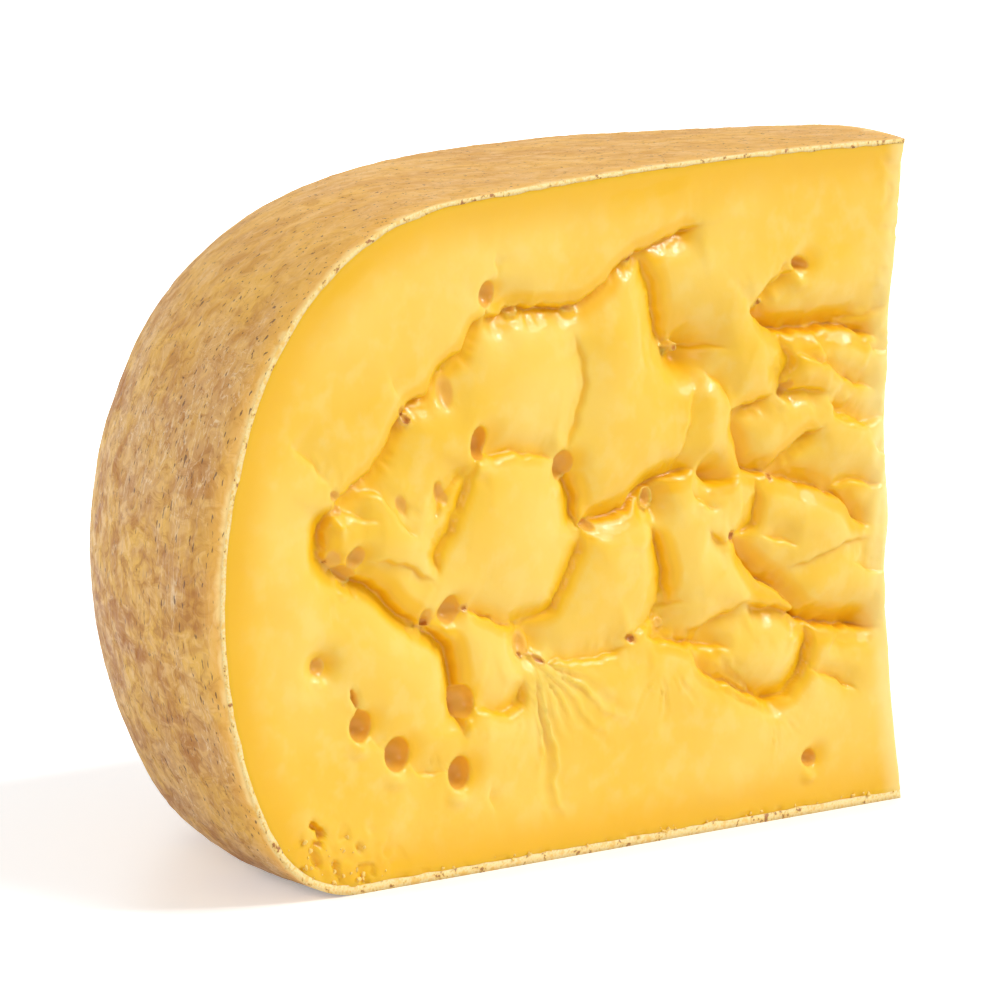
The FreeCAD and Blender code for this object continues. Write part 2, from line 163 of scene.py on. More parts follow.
def sunk(height):
    """How far the second cut has sunk in at a height."""
    return (np.sqrt(SUNK_ROUND ** 2 - (height - WHEEL_HEIGHT / 2) ** 2)
            - (SUNK_ROUND - SUNK_DEPTH))


def nose_at(height):
    """The nose at a height: points on the table plane."""
    inward = sunk(np.asarray(height, dtype=float)) / math.sin(WEDGE)
    return np.stack([NOSE[0] - inward, NOSE[1] + 0.0 * inward], axis=-1)


def reach(start, direction, radius):
    """How far it is from start, along direction, to that distance from the wheel's axis."""
    offset = start - AXIS
    along = (offset * direction).sum(axis=-1)
    return -along + np.sqrt(along ** 2 - (offset ** 2).sum(axis=-1) + radius ** 2)


def skin_depth(share, depths):
    """Depth below the wheel's surface: at the underside, the heel and the top."""
    return np.interp(share, [0.0, 0.25, 0.75, 1.0], [depths[0], depths[1], depths[1], depths[2]])


def section(direction, shares, depths=(0.0, 0.0, 0.0)):
    """Distance from the nose and height of a section's points.

    A share from 0 to 1 is on the underside, from 1 to 2 on the rim, from 2 to 3 on the top.
    """
    shares = np.asarray(shares, dtype=float)
    out = np.zeros((len(shares), 2))
    rim, outward = rim_point(shares - 1.0)
    rim = rim - outward * skin_depth(shares - 1.0, depths)[:, None]
    out[:, 1] = rim[:, 1]
    out[:, 0] = reach(nose_at(rim[:, 1]), direction, rim[:, 0])
    under = shares <= 1.0
    out[under, 1] = depths[0]
    out[under, 0] = shares[under] * reach(nose_at(depths[0]), direction, BASE_RADIUS)
    last, _ = rim_point(1.0)
    top = shares >= 2.0
    top_nose = nose_at(NOSE_TOP)
    distance = (3.0 - shares[top]) * reach(top_nose, direction, last[0, 0])
    place = top_nose + distance[:, None] * direction
    out[top, 0] = distance
    out[top, 1] = crown_height(np.hypot(*(place - AXIS).T)) - depths[2]
    return out


def stand(points, direction):
    """Section points (distance from the nose, height) as points in space."""
    flat = nose_at(points[..., 1]) + points[..., :1] * direction
    return np.concatenate([flat, points[..., 1:2]], axis=-1)


FRONT_DIRECTION = np.array([-1.0, 0.0])
front = section(FRONT_DIRECTION, np.linspace(0.0, 3.0, 61))
print("front cut: %.1f mm long; second cut: %.1f mm long" % (
    front[:, 0].max(), section(SECOND_DIRECTION, np.linspace(1, 2, 61))[:, 0].max()))

# %% [markdown]
# ## Small tools for curves and chains
#
# A seam is drawn as a few points and followed as a smooth curve, because curd never tears along
# straight runs. A chain of vertices along a border often meets one with another spacing, so one
# function zips two chains together with triangles, always taking the shorter step next.

# %% Curves and chains
def smooth_line(points, step=0.5):
    """A Catmull-Rom curve through the points, sampled about every step."""
    points = np.asarray(points, dtype=float)
    padded = np.vstack([2 * points[0] - points[1], points, 2 * points[-1] - points[-2]])
    runs = []
    for before, start, end, after in zip(padded, padded[1:], padded[2:], padded[3:]):
        count = max(2, int(np.hypot(*(end - start)) / step))
        t = np.linspace(0.0, 1.0, count, endpoint=False)[:, None]
        runs.append(0.5 * (2 * start + (end - before) * t
                           + (2 * before - 5 * start + 4 * end - after) * t ** 2
                           + (3 * start - before - 3 * end + after) * t ** 3))
    return np.vstack(runs + [points[-1:]])


def length_shares(chain):
    """Where each point of a chain lies, as a share of the chain's length."""
    steps = np.sqrt((np.diff(chain, axis=0) ** 2).sum(axis=1))
    return np.concatenate([[0.0], np.cumsum(steps)]) / steps.sum()


def zip_chains(places, first, second):
    """Triangles between two chains of vertex numbers that run the same way."""
    share_a, share_b = length_shares(places[first]), length_shares(places[second])
    a = b = 0
    faces = []
    while a < len(first) - 1 or b < len(second) - 1:
        step_a = b == len(second) - 1 or (
            a < len(first) - 1 and share_a[a + 1] <= share_b[b + 1])
        corner = first[a + 1] if step_a else second[b + 1]
        face = (first[a], corner, second[b])
        if len(set(face)) == 3:
            faces.append(face)
        a, b = (a + 1, b) if step_a else (a, b + 1)
    return faces


def put(name, data):
    """An object made from a mesh, a lamp or a camera, and put in the scene."""
    thing = bpy.data.objects.new(name, data)
    bpy.context.scene.collection.objects.link(thing)
    return thing


def make_piece(name, places, faces):
    """A mesh object from places in millimetres, with its faces turned outwards."""
    mesh = bpy.data.meshes.new(name)
    mesh.from_pydata([tuple(place) for place in np.asarray(places) * MM], [],
                     [tuple(int(corner) for corner in face) for face in faces])
    work = bmesh.new()
    work.from_mesh(mesh)
    bmesh.ops.recalc_face_normals(work, faces=work.faces)
    open_edges = sum(1 for edge in work.edges if not edge.is_manifold)
    volume = work.calc_volume(signed=True)
    if volume < 0.0:
        bmesh.ops.reverse_faces(work, faces=work.faces)
    work.to_mesh(mesh)
    work.free()
    mesh.polygons.foreach_set("use_smooth", [True] * len(mesh.polygons))
    triangles = sum(len(polygon.vertices) - 2 for polygon in mesh.polygons)
    print("%s: %d triangles, %.0f cm3, %d open edges" % (
        name, triangles, abs(volume) * 1e6, open_edges))
    return put(name, mesh)

# %% [markdown]
# ## The front cut: its seams
#
# The face isn't carved, it is pressed and then torn open by the knife. Where two lumps of curd
# met and didn't knit, a seam is left: a narrow cleft whose shoulders sag towards it, often with
# one side higher than the other. The relief is only a few millimetres deep, but under a raking
# light it is what makes the face read as cheese, so it is made as shape and not as a bump.
#
# Each seam below is a row: how deep, how wide the cleft is, how much its left side (seen along
# the run) stands above its right, and the points it passes: distance from the nose and height,
# in millimetres. The gains in a later cell scale the depths and the steps of all the rows.

# %% The seams
SEAMS = [
    # the long seam under the top, from the rind side to the nose side
    (1.5, 0.8, 0.5, [(47, 98.9), (55, 96.7), (63, 94.6), (69, 90.6), (75.5, 87.8), (82, 88.3),
                     (88.5, 88.5), (92, 87.3), (95.3, 89.0)]),
    (1.4, 0.8, 0.5, [(94.5, 89.0), (97.6, 86.0), (100, 82), (104.4, 80.4), (107, 76.5),
                     (111, 75.3), (114, 72.2), (116.5, 68), (119.5, 65.2), (127.5, 61.5)]),
    # down the left and across to the low eyes
    (1.6, 0.8, -0.6, [(127.5, 61.5), (129, 57), (128.6, 53), (124, 50), (121, 48.8), (117.5, 47.5),
                      (113, 43), (107.5, 40), (103.5, 37.6), (101, 33), (100.7, 28.5),
                      (100.2, 22)]),
    (1.1, 0.7, 0.3, [(100.5, 42.4), (95, 40.5), (90, 38.6), (86, 38.4), (82, 38.8),
                     (79, 40.5), (76.5, 44.5), (74.5, 48), (73.4, 52.5)]),
    (1.7, 0.8, 0.4, [(74.6, 52.6), (68, 53.7), (63, 54.2), (60, 56.4), (57, 58), (52, 59),
                     (47.5, 59.2)]),
    (1.5, 0.8, 0.5, [(73.4, 51.5), (74.5, 54.5), (74.8, 58), (76, 60.7), (77.6, 62.8)]),
    (0.5, 0.9, 0.2, [(78, 65), (76, 68), (74.4, 72), (73.6, 76), (74, 80), (75, 84)]),
    (1.0, 0.6, 0.35, [(96.9, 66), (93, 66), (90, 66.2), (86.5, 65.4), (83, 65), (79.5, 64.4)]),
    (1.0, 0.7, -0.35, [(97.5, 65.8), (99, 62), (101.3, 58.3), (103, 54.6), (105.3, 51.6),
                       (106, 47.5)]),
    (0.7, 0.7, 0.2, [(112, 61.5), (112.4, 58.8), (112.8, 57)]),
    (0.6, 0.7, 0.2, [(125.5, 60), (122, 59.0), (118.5, 58.0)]),
    # round the dimple
    (1.1, 1.4, -0.5, [(60.5, 95), (57, 91.4), (55.5, 87), (54, 82.8), (51.5, 79.5)]),
    (0.8, 0.9, 0.4, [(49.5, 78.4), (46, 79), (43, 78.7), (40.5, 78)]),
    # the nose side: a fan of plates
    (1.0, 0.8, 0.3, [(24, 90.5), (28.8, 88.6), (31.6, 86.6), (33.6, 85.2), (35.8, 84.1)]),
    (1.9, 0.8, 0.8, [(36.2, 84.2), (34, 82.9), (31, 81.4), (28.5, 80.1), (24, 80), (18, 79.9),
                     (12, 79.4), (6, 77.4)]),
    (0.7, 0.6, 0.3, [(14, 81), (10, 80.8), (6, 81.5), (3, 82.5)]),
    (1.1, 0.7, -0.4, [(29, 80), (28, 78), (26.2, 75), (28, 72.8), (27.4, 70.8), (22, 70.2),
                      (17.5, 69.4)]),
    (1.2, 0.7, 0.5, [(29.5, 70.2), (33, 68.9), (37, 68.5), (40.5, 68.3)]),
    (0.9, 0.7, -0.3, [(40.3, 68.3), (42, 72.3), (44, 74.2), (46, 75)]),
    (1.6, 0.8, 0.6, [(40.4, 68.3), (39.6, 65.5), (37.6, 62), (36.6, 58.6), (33, 57.4),
                     (28, 56.4), (24, 55), (18, 53.1), (14, 51.4), (11.5, 48), (7.5, 46.4)]),
    (1.4, 0.7, 0.5, [(19, 63.8), (22.5, 62.8), (26, 60.7), (29, 58.5), (30.8, 57)]),
    (1.0, 0.6, 0.4, [(18.5, 68.5), (15.6, 66.4), (13.5, 65.3), (10, 64), (7.5, 62)]),
    (1.0, 0.6, 0.4, [(27, 77), (22.7, 75.5), (18, 73.6), (14.5, 71.8), (11, 70.3), (6.5, 68.8)]),
    (1.3, 0.9, -0.5, [(57.2, 51.5), (55.5, 47.3), (54.2, 43), (53.4, 40), (53, 38)]),
    (0.8, 0.8, 0.3, [(63.2, 33.6), (60, 35), (56.8, 35.8), (54.6, 38), (50, 38.2)]),
    (1.2, 0.9, 0.5, [(60, 33.2), (55, 32.6), (50, 31.4), (45, 30.4), (40, 29.8)]),
    (0.8, 0.8, 0.3, [(82, 31.4), (77, 31.7), (72, 31.2), (67, 31.5), (63.2, 33)]),
    (2.0, 0.9, 0.7, [(40.4, 48), (38.5, 45.5), (36, 43), (33.5, 40.6), (30, 38.5), (27, 36.2),
                     (24.6, 34), (21.8, 31.9), (18, 31), (12, 30.2), (5, 28.8)]),
    (0.9, 0.7, 0.3, [(40, 47.8), (42, 47.2), (44.3, 48.3), (46.5, 49.4)]),
    (1.0, 0.7, 0.3, [(39.6, 47.8), (36.5, 48), (34.4, 48.8), (33.4, 51), (33.6, 54), (34.6, 57)]),
    (1.1, 0.8, -0.7, [(37, 36.8), (33, 35.5), (29, 34.8), (25, 33.8), (22.3, 31.8)]),
    (1.2, 0.8, -0.5, [(22.4, 31.6), (21.5, 28.6), (21.9, 26), (23.4, 23.3), (25.8, 21),
                      (29.5, 19.6), (34, 21), (40, 23.5), (45.5, 25.8), (49.5, 30)]),
    (0.9, 0.5, 0.2, [(22, 24), (18, 22.7), (14, 21.3), (10, 19)]),
    (0.5, 0.6, 0.2, [(14, 30), (16, 28), (18.5, 26)]),
    (0.8, 0.8, 0.3, [(49.2, 56.6), (47.4, 54.4), (45.5, 53), (42.8, 52.8)]),
    (0.5, 0.9, -0.3, [(27, 41), (22, 42.2), (17, 43.2), (12, 44.5), (7.5, 44)]),
    (0.4, 0.9, 0.2, [(48, 73), (50, 67), (52.5, 60)]),
    (0.4, 1.0, 0.2, [(137, 72), (132, 68), (128.5, 64.5)]),
    (0.4, 0.9, 0.2, [(116.5, 81), (113.6, 76.5)]),
    (0.4, 0.8, 0.2, [(93, 98), (92, 93.5)]),
    (0.4, 0.8, 0.2, [(95, 14), (93.4, 9)]),
    (1.1, 0.8, 0.7, [(47, 58.6), (44, 57), (41, 56.6), (38, 57.6)]),
    (0.9, 0.8, 0.5, [(36.5, 37.2), (40, 35.5), (44, 34.3), (49, 33)]),
    (0.9, 0.7, 0.4, [(17, 53), (12.5, 54.3), (8, 53.4), (4, 52.6)]),
    (0.8, 0.6, 0.4, [(15.5, 68), (17, 66), (13.5, 64.2), (7.5, 63.6), (3, 64.5)]),
    (0.8, 0.6, 0.4, [(21, 79.8), (19.5, 76.5), (17.5, 74.0)]),
    (0.7, 0.6, 0.3, [(9, 76.5), (6, 75.2), (3, 75.6)]),
    (0.7, 0.6, -0.3, [(35.5, 84), (32.5, 87.5), (30, 89.5), (27.5, 91.5)]),
    (0.8, 0.6, 0.4, [(33, 47.5), (29.5, 46.2), (25, 45.0)]),
    (0.6, 0.6, 0.3, [(8, 60.5), (5, 58.6), (2.5, 58.8)]),
    (0.6, 0.6, 0.3, [(12, 41), (8, 39.2), (3.5, 38.6)]),
    (0.9, 0.7, 0.5, [(98, 26.6), (93.5, 25.2), (89.5, 24.6), (87, 26.5), (86, 30)]),
    (0.5, 0.6, 0.2, [(120.5, 24.6), (118.6, 22.9), (117, 21.8)]),
    (0.5, 0.6, 0.2, [(112.4, 19.2), (109.5, 17.6), (106.5, 17.0), (103.8, 17.0)]),
    (0.7, 0.6, 0.3, [(106.5, 56.5), (104.5, 59.5), (101.5, 62.5), (98.5, 65.2)]),
    (0.6, 0.6, 0.3, [(121.5, 62.9), (117, 61.6), (113.5, 57.0), (110.5, 54.5)]),
    (0.6, 0.6, -0.3, [(120.3, 52.2), (115.5, 51.2), (110.5, 49.5), (106.5, 47.2)]),
]
print(len(SEAMS), "seams, the deepest", max(row[0] for row in SEAMS), "mm")

# %% [markdown]
# A plate between seams is faintly cushioned, so the face gets broad swellings as well, and here
# and there a hollow where a bubble or a lump came away. Over them lies the wrinkling of the skin
# of the paste: fans of fine folds that spread from a hollow, as cloth puckers at a stitch.

# %% Swellings, hollows and wrinkle fans
SWELLINGS = [
    # distance from the nose, height, half width, half height, rise
    (116, 36, 12, 9, 0.7), (106, 24, 9, 7, 0.4), (90, 52, 12, 11, 0.8), (88, 77, 12, 10, 0.6),
    (112, 58, 8, 8, 0.5), (104, 70, 8, 8, 0.4), (65, 79, 9, 13, 0.8), (62, 64, 10, 9, 0.7),
    (46, 67, 6, 8, 0.6), (37, 77, 6, 7, 0.6), (22, 87, 11, 6, 0.5), (18, 74, 8, 5, 0.5),
    (28, 63, 8, 6, 0.6), (12, 58, 7, 6, 0.4), (64, 43, 10, 9, 0.8), (45, 42, 8, 8, 0.7),
    (22, 48, 10, 6, 0.7), (18, 38, 10, 6, 0.6), (35, 28, 9, 6, 0.8), (68, 22, 14, 9, 0.4),
    (40, 12, 16, 8, 0.4), (92, 16, 12, 8, 0.3), (132, 45, 8, 16, 0.4), (45, 89, 10, 6, 0.4),
]
HOLLOWS = [
    # distance from the nose, height, half width, half height, depth
    (84.5, 35.4, 4.2, 4.0, 2.4), (48.5, 77.5, 4.2, 3.8, 3.2), (52.0, 82.0, 8.0, 9.0, 1.6),
    (44.5, 58.5, 3.2, 2.8, 1.7), (57, 54.4, 3.4, 3.8, 2.2), (54.6, 36, 3.0, 2.4, 1.5),
    (101.5, 76, 3.0, 5.0, 0.7), (90, 90.6, 4.0, 2.6, 0.8), (30, 19.4, 2.2, 1.8, 1.0),
    (130.5, 36.5, 3.2, 3.0, 1.3),
    (78.6, 61.4, 2.6, 2.6, 0.8), (103.5, 41.5, 4.0, 2.6, 0.9), (8, 30, 5.0, 3.0, 0.5),
]
FANS = [
    # centre, first and last direction in degrees, inner and outer reach, folds, height
    ((84.5, 33.5), 186.0, 296.0, 2.5, 30.0, 5, 1.20),
    ((56.0, 29.5), 210.0, 330.0, 2.0, 13.0, 4, 0.60),
    ((30.0, 18.6), 190.0, 350.0, 1.5, 9.0, 5, 0.50),
    ((27.0, 16.5), 8.0, 50.0, 6.0, 28.0, 3, 0.70),
    ((57.5, 47.5), 280.0, 390.0, 2.5, 13.0, 4, 0.45),
    ((128.0, 56.0), 100.0, 175.0, 2.0, 13.0, 3, 0.35),
    ((128.5, 50.0), 190.0, 300.0, 2.0, 9.0, 5, 0.45),
    ((102.0, 40.0), 240.0, 330.0, 2.5, 9.0, 4, 0.40),
    ((84.5, 33.5), 196.0, 262.0, 4.0, 17.0, 7, 0.45),
    ((103.0, 76.5), 60.0, 170.0, 1.5, 8.0, 3, 0.45),
    ((114.0, 60.5), 110.0, 215.0, 1.5, 9.0, 4, 0.40),
    ((8.0, 44.0), 130.0, 230.0, 1.0, 12.0, 4, 0.40),
]
print(len(SWELLINGS), "swellings,", len(HOLLOWS), "hollows and", len(FANS), "fans")

# %% [markdown]
# ## Following a seam
#
# A point of the face has to know how far it is from each seam, on which side it lies and how far
# along. The grid's points are drawn towards the seams as well, so that a narrow cleft has cells
# enough to be sharp.

# %% Near a seam
SEAM_STEP = 0.25
GATHER, GATHER_LEFT = 1.7, 0.36
AT_ONCE = 4000


def ramp(low, high, value):
    """A soft step from zero to one between two values."""
    share = np.clip((value - low) / (high - low), 0.0, 1.0)
    return share * share * (3.0 - 2.0 * share)


def torn_line(points, seed):
    """A seam's curve with the small sideways wander of torn curd."""
    line = smooth_line(points, SEAM_STEP)
    tangent = np.gradient(line, axis=0)
    tangent /= np.hypot(*tangent.T)[:, None]
    run = SEAM_STEP * np.arange(len(line))
    wander = (0.26 * np.sin(0.83 * run + 11.0 * seed + points[0][0])
              * np.sin(0.31 * run + points[0][1])
              + 0.12 * np.sin(1.9 * run + 5.0 * seed + points[0][1]))
    return line + wander[:, None] * tangent[:, ::-1] * [-1.0, 1.0]


def bump(distance):
    """A smooth hill: one in the middle, nothing from a distance of one on."""
    return np.where(distance < 1.0, (1.0 - np.minimum(distance, 1.0) ** 2) ** 2, 0.0)


def near_line(along, height, line, margin):
    """For points near a line: their numbers, distances, sides and shares of its length."""
    low, high = line.min(axis=0) - margin, line.max(axis=0) + margin
    which = np.flatnonzero((along > low[0]) & (along < high[0])
                           & (height > low[1]) & (height < high[1]))
    spots = np.stack([along[which], height[which]], axis=1)
    nearest = np.empty(len(which), dtype=int)
    for start in range(0, len(which), AT_ONCE):
        part = spots[start:start + AT_ONCE]
        gaps = ((part[:, None, :] - line[None, :, :]) ** 2).sum(axis=2)
        nearest[start:start + AT_ONCE] = gaps.argmin(axis=1)
    tangent = np.gradient(line, axis=0)
    tangent /= np.hypot(*tangent.T)[:, None]
    offset = spots - line[nearest]
    side = tangent[nearest, 0] * offset[:, 1] - tangent[nearest, 1] * offset[:, 0]
    return which, np.hypot(*offset.T), np.sign(side), nearest / (len(line) - 1.0)


def gather(along, height, seams):
    """Draws a grid's points towards the seams, so that a narrow cleft has cells enough."""
    along, height = along.ravel().copy(), height.ravel().copy()
    for depth, _, _, points in seams:
        line = torn_line(points, depth)
        which, distance, _, share = near_line(along, height, line, GATHER)
        run = share * len(line) * SEAM_STEP
        inside = (distance < GATHER) & (run > 0.3) & (run < len(line) * SEAM_STEP - 0.5)
        which, distance = which[inside], distance[inside]
        nearest = line[np.round(share[inside] * (len(line) - 1)).astype(int)]
        kept = GATHER_LEFT + (1.0 - GATHER_LEFT) * distance / GATHER
        along[which] = nearest[:, 0] + (along[which] - nearest[:, 0]) * kept
        height[which] = nearest[:, 1] + (height[which] - nearest[:, 1]) * kept
    return along, height


print("the seam under the top runs about %.0f mm" % (
    SEAM_STEP * len(torn_line(SEAMS[0][3], SEAMS[0][0]))))

# %% [markdown]
# ## The relief of a face
#
# Two helpers come first. One smooths values on the grid, as warm curd evens itself out. The
# other sinks the face a little beside each open eye and swells it under the eye, where the paste
# was pressed down by the knife, and gives a deeper gold in the dip beside the eye as painted
# shade.

# %% Smoothing, and the dips beside the eyes
BESIDE_EYE, UNDER_EYE = 0.62, 0.62
LEAST_EYE, LEAST_DEPTH = 1.7, 0.05


def soften(values, shape, times):
    """Smooths values that lie on a grid of that shape."""
    grid = values.reshape(shape)
    for _ in range(times):
        for axis in (0, 1):
            wide = np.concatenate([np.take(grid, [0], axis), grid, np.take(grid, [-1], axis)],
                                  axis)
            count = grid.shape[axis]
            before, after = (np.take(wide, np.arange(start, start + count), axis)
                             for start in (0, 2))
            grid = 0.5 * grid + 0.25 * (before + after)
    return grid.ravel()


def round_eyes(along, height, eyes):
    """The soft dip on the nose side of each open eye, the wet swelling under it, and painted shade
    in the dip.
    """
    out, golden = np.zeros(len(along)), np.zeros(len(along))
    for u, z, wide, tall, _, below in eyes:
        radius = max(wide, tall)
        if radius < LEAST_EYE or below < LEAST_DEPTH:
            continue
        beside = bump(np.hypot(along - u + 0.75 * radius, height - z - 0.1 * radius)
                      / (1.75 * radius))
        under = bump(np.hypot((along - u - 0.2 * radius) / 1.5, height - z + 1.45 * radius)
                     / (0.75 * radius))
        out += UNDER_EYE * under - BESIDE_EYE * beside
        # painted shade: a deeper gold in the dip beside the eye
        golden = np.maximum(golden, 0.75 * beside)
    return out, golden


print("eyes from %.1f mm across get a dip" % (2 * LEAST_EYE))

# %% [markdown]
# Each seam is a sharp cleft with broad sagging shoulders and a step from one side to the other.
# On its low side the knife pulled up a thin, broken lip. The function adds all of that to the
# swellings, the hollows and the fans, and also gives how deep in a seam or a hollow each point
# lies: the deeper gold painted there is painted shade, and a paler colour on a crest is painted
# highlight.

# %% The relief
SEAM_REACH = 18.0
SWELL_GAIN = 1.7
CLEFT_GAIN = 0.62
SAG, SAG_GAIN = 2.9, 1.55
STEP_GAIN, STEP_FADE = 2.0, 6.5
HOLLOW_GAIN = 1.5
LIP_RISE, LIP_PLACE, LIP_WIDTH = 0.32, 0.95, 0.28
CRINKLE_RISE, CRINKLE_PLACE, CRINKLE_WIDTH = 0.16, 1.9, 0.9
DIP_ROUNDS, LIFT_ROUNDS, CREST_ROUNDS = 6, 1, 80
CREST_FROM, CREST_FULL = 0.02, 0.45


def relief(along, height, shape, seams, swellings, hollows, fans):
    """How far a face stands out of its cut, and how deep in a seam each point lies, for painted
    shade.
    """
    out = np.zeros(len(along))
    cleft = np.zeros(len(along))
    dip = np.zeros(len(along))
    lifted = np.zeros(len(along))
    for u, z, wide, tall, rise in swellings:
        out += SWELL_GAIN * rise * bump(np.hypot((along - u) / (1.5 * wide),
                                                 (height - z) / (1.5 * tall)))
    for u, z, wide, tall, depth in hollows:
        hollow = np.exp(-((along - u) / wide) ** 2 - ((height - z) / tall) ** 2)
        out -= HOLLOW_GAIN * depth * hollow
        # painted shade: a deeper gold in the hollow
        cleft = np.maximum(cleft, 0.3 * depth * hollow ** 2)
    for depth, wide, step, points in seams:
        line = torn_line(points, depth)
        which, distance, side, share = near_line(along, height, line, SEAM_REACH)
        run = share * len(line) * SEAM_STEP
        from_end = np.minimum(run, len(line) * SEAM_STEP - run)
        fade = ramp(-1.0, 3.5, from_end)
        past_end = np.exp(-((distance / 10.0) ** 4))
        uneven = 0.80 + 0.4 * np.sin(0.55 * run + 7.0 * depth) * np.sin(0.21 * run + 5.0 * wide)
        sharp = CLEFT_GAIN * uneven * np.exp(-(distance / (0.45 * wide)) ** 1.5)
        sag = SAG_GAIN * np.exp(-(distance / (SAG * (0.5 + 0.5 * wide))) ** 1.15)
        lift = STEP_GAIN * step * side * np.tanh(distance / (0.3 * wide)) * np.exp(
            -distance / STEP_FADE)
        # on the low side the knife has pulled up a thin, broken lip and short crinkles
        low_side = np.where(side * np.sign(step) < 0.0, 1.0, 0.15)
        broken = ramp(-0.3, 0.5, np.sin(1.1 * run + 3.0 * step)
                      + np.sin(0.37 * run + 9.0 * depth))
        lip = LIP_RISE * broken * np.exp(-((distance - LIP_PLACE * wide) / LIP_WIDTH) ** 2)
        patch = ramp(0.25, 0.9, np.sin(0.27 * run + 13.0 * depth + points[0][0]))
        lip += CRINKLE_RISE * patch * np.sin(3.6 * run + 2.0 * np.sin(0.8 * run)) * np.exp(
            -((distance - CRINKLE_PLACE) / CRINKLE_WIDTH) ** 2)
        out[which] += fade * past_end * (low_side * lip - depth * sharp)
        lifted[which] += fade * past_end * lift
        dip[which] = np.maximum(dip[which], fade * past_end * depth * sag)
        # painted shade: a deeper gold close in the seam
        cleft[which] = np.maximum(cleft[which], fade * depth * np.exp(-(distance / 0.55) ** 1.5))
    dip = soften(dip, shape, DIP_ROUNDS)
    out += soften(lifted, shape, LIFT_ROUNDS) - dip
    # painted shade: a deeper gold down the seam's sagging shoulders
    cleft = np.maximum(cleft, ramp(0.2, 1.9, dip))
    for (u, z), first, last, inner, outer, folds, rise in fans:
        gap = np.hypot(along - u, height - z)
        turn = np.degrees(np.arctan2(height - z, along - u)) % 360.0
        turn = np.where(turn < first - 20.0, turn + 360.0, turn)
        within = (turn - first) / (last - first)
        fade = np.clip(6.0 * within, 0, 1) * np.clip(6.0 * (1.0 - within), 0, 1)
        ragged = outer * (0.75 + 0.25 * np.sin(17.0 * within + u))
        fade *= np.clip((gap - inner) / 3.0, 0, 1) * np.clip((ragged - gap) / (0.6 * outer), 0, 1)
        wander = 0.10 * np.sin(gap * 0.5 + 9.0 * within) + 0.03 * np.sin(gap * 1.7)
        fold = np.cos(2.0 * math.pi * (folds * within + wander))
        uneven = 0.6 + 0.4 * np.sin(5.0 * within * folds + 1.3 * u)
        out += rise * fade * uneven * (0.7 - 1.4 * np.abs(fold) ** 0.7)
    # crests come out below zero: a paler colour there is painted highlight
    crest_highlight = ramp(CREST_FROM, CREST_FULL, out - soften(out, shape, CREST_ROUNDS))
    return out, cleft - crest_highlight * ramp(0.35, 0.0, cleft)


print("a seam's shoulders sag over about %.1f mm" % SAG)

# %% [markdown]
# ## The eyes
#
# An eye is a bubble that the knife opened, so it can be wider below its mouth than at it, and no
# height field can hold that. The grid of the face is drawn towards each eye and its middle cells
# are carried down round the wall of a ball instead: a point's distance from the middle of the eye
# becomes a place along the eye's own section, from the bottom, up the wall, over the rounded lip
# and out onto the face. The last number of a row says how far the ball's middle lies under the
# face: a small or negative one makes a shallow dish.

# %% The eyes of the front cut
EYES = [
    # distance from the nose, height, half width, half height, turn in degrees, depth share
    (122.3, 26.3, 2.5, 2.5, 0, 0.62), (114.5, 21.0, 2.8, 2.8, 0, 0.60),
    (101.2, 16.5, 2.5, 2.7, 0, 0.62), (100.1, 27.6, 2.5, 2.7, 0, 0.62),
    (130.5, 36.5, 1.7, 1.6, 0, 0.10), (123.9, 30.9, 0.7, 1.9, -25, 0.0),
    (96.8, 68.2, 2.2, 2.7, 0, 0.62), (77.8, 62.9, 2.3, 2.5, 0, 0.50),
    (102.8, 42.5, 2.3, 2.4, 0, 0.30), (107.6, 40.9, 1.2, 1.0, 20, 0.20),
    (122.8, 52.8, 1.8, 1.8, 0, 0.25), (124.3, 50.2, 2.0, 1.3, 25, 0.55),
    (127.7, 52.7, 2.0, 1.9, 0, -0.3), (128.2, 52.6, 0.5, 0.45, 0, 0.3),
    (112.8, 74.6, 0.95, 0.95, 0, 0.5), (111.6, 73.2, 0.95, 0.95, 0, 0.5),
    (94.5, 91.4, 2.2, 2.2, 0, 0.45), (62.9, 94.8, 0.75, 0.7, 0, 0.4),
    (51.6, 79.4, 0.75, 0.7, 0, 0.5), (24.5, 90.9, 2.2, 1.15, 15, 0.40),
    (27.4, 70.6, 1.7, 1.0, -40, 0.5), (57.6, 55.6, 1.5, 1.9, 20, 0.5),
    (86.2, 33.0, 0.75, 0.65, 0, 0.5), (82.6, 32.2, 1.2, 0.7, 20, 0.45),
    (21.5, 9.3, 2.1, 1.5, 10, 0.45), (132.3, 12.0, 0.95, 0.7, 0, 0.6),
    (130.8, 10.6, 0.8, 1.1, -25, 0.6), (131.3, 9.0, 0.8, 0.5, 20, 0.5),
    (88.0, 88.3, 1.3, 0.8, 0, 0.35), (72.4, 52.9, 1.6, 1.1, 15, 0.5),
    (75.6, 87.6, 1.3, 0.7, 10, 0.35), (33.2, 85.2, 1.0, 0.6, -25, 0.35),
    (63.2, 33.7, 1.2, 0.7, 10, 0.3),
    (31.0, 56.7, 1.1, 0.6, 0, 0.35), (40.2, 47.9, 1.2, 0.9, 0, 0.4),
    (55.0, 35.2, 1.5, 1.3, 0, -0.5),
    (102.8, 76.9, 2.1, 3.6, 8, -0.6), (113.2, 59.9, 1.5, 2.4, -28, -0.7),
    (104.6, 61.0, 1.5, 2.8, -32, -0.6), (85.6, 35.0, 2.6, 3.0, 10, -0.5),
    (108.0, 41.6, 1.7, 2.0, 20, -0.4), (99.6, 42.4, 0.9, 0.7, 0, 0.3),
    (127.3, 62.8, 1.3, 0.9, 20, 0.1), (126.3, 60.3, 1.7, 0.8, -10, 0.3),
]
print(len(EYES), "eyes, the widest", 2 * max(row[2] for row in EYES), "mm across")

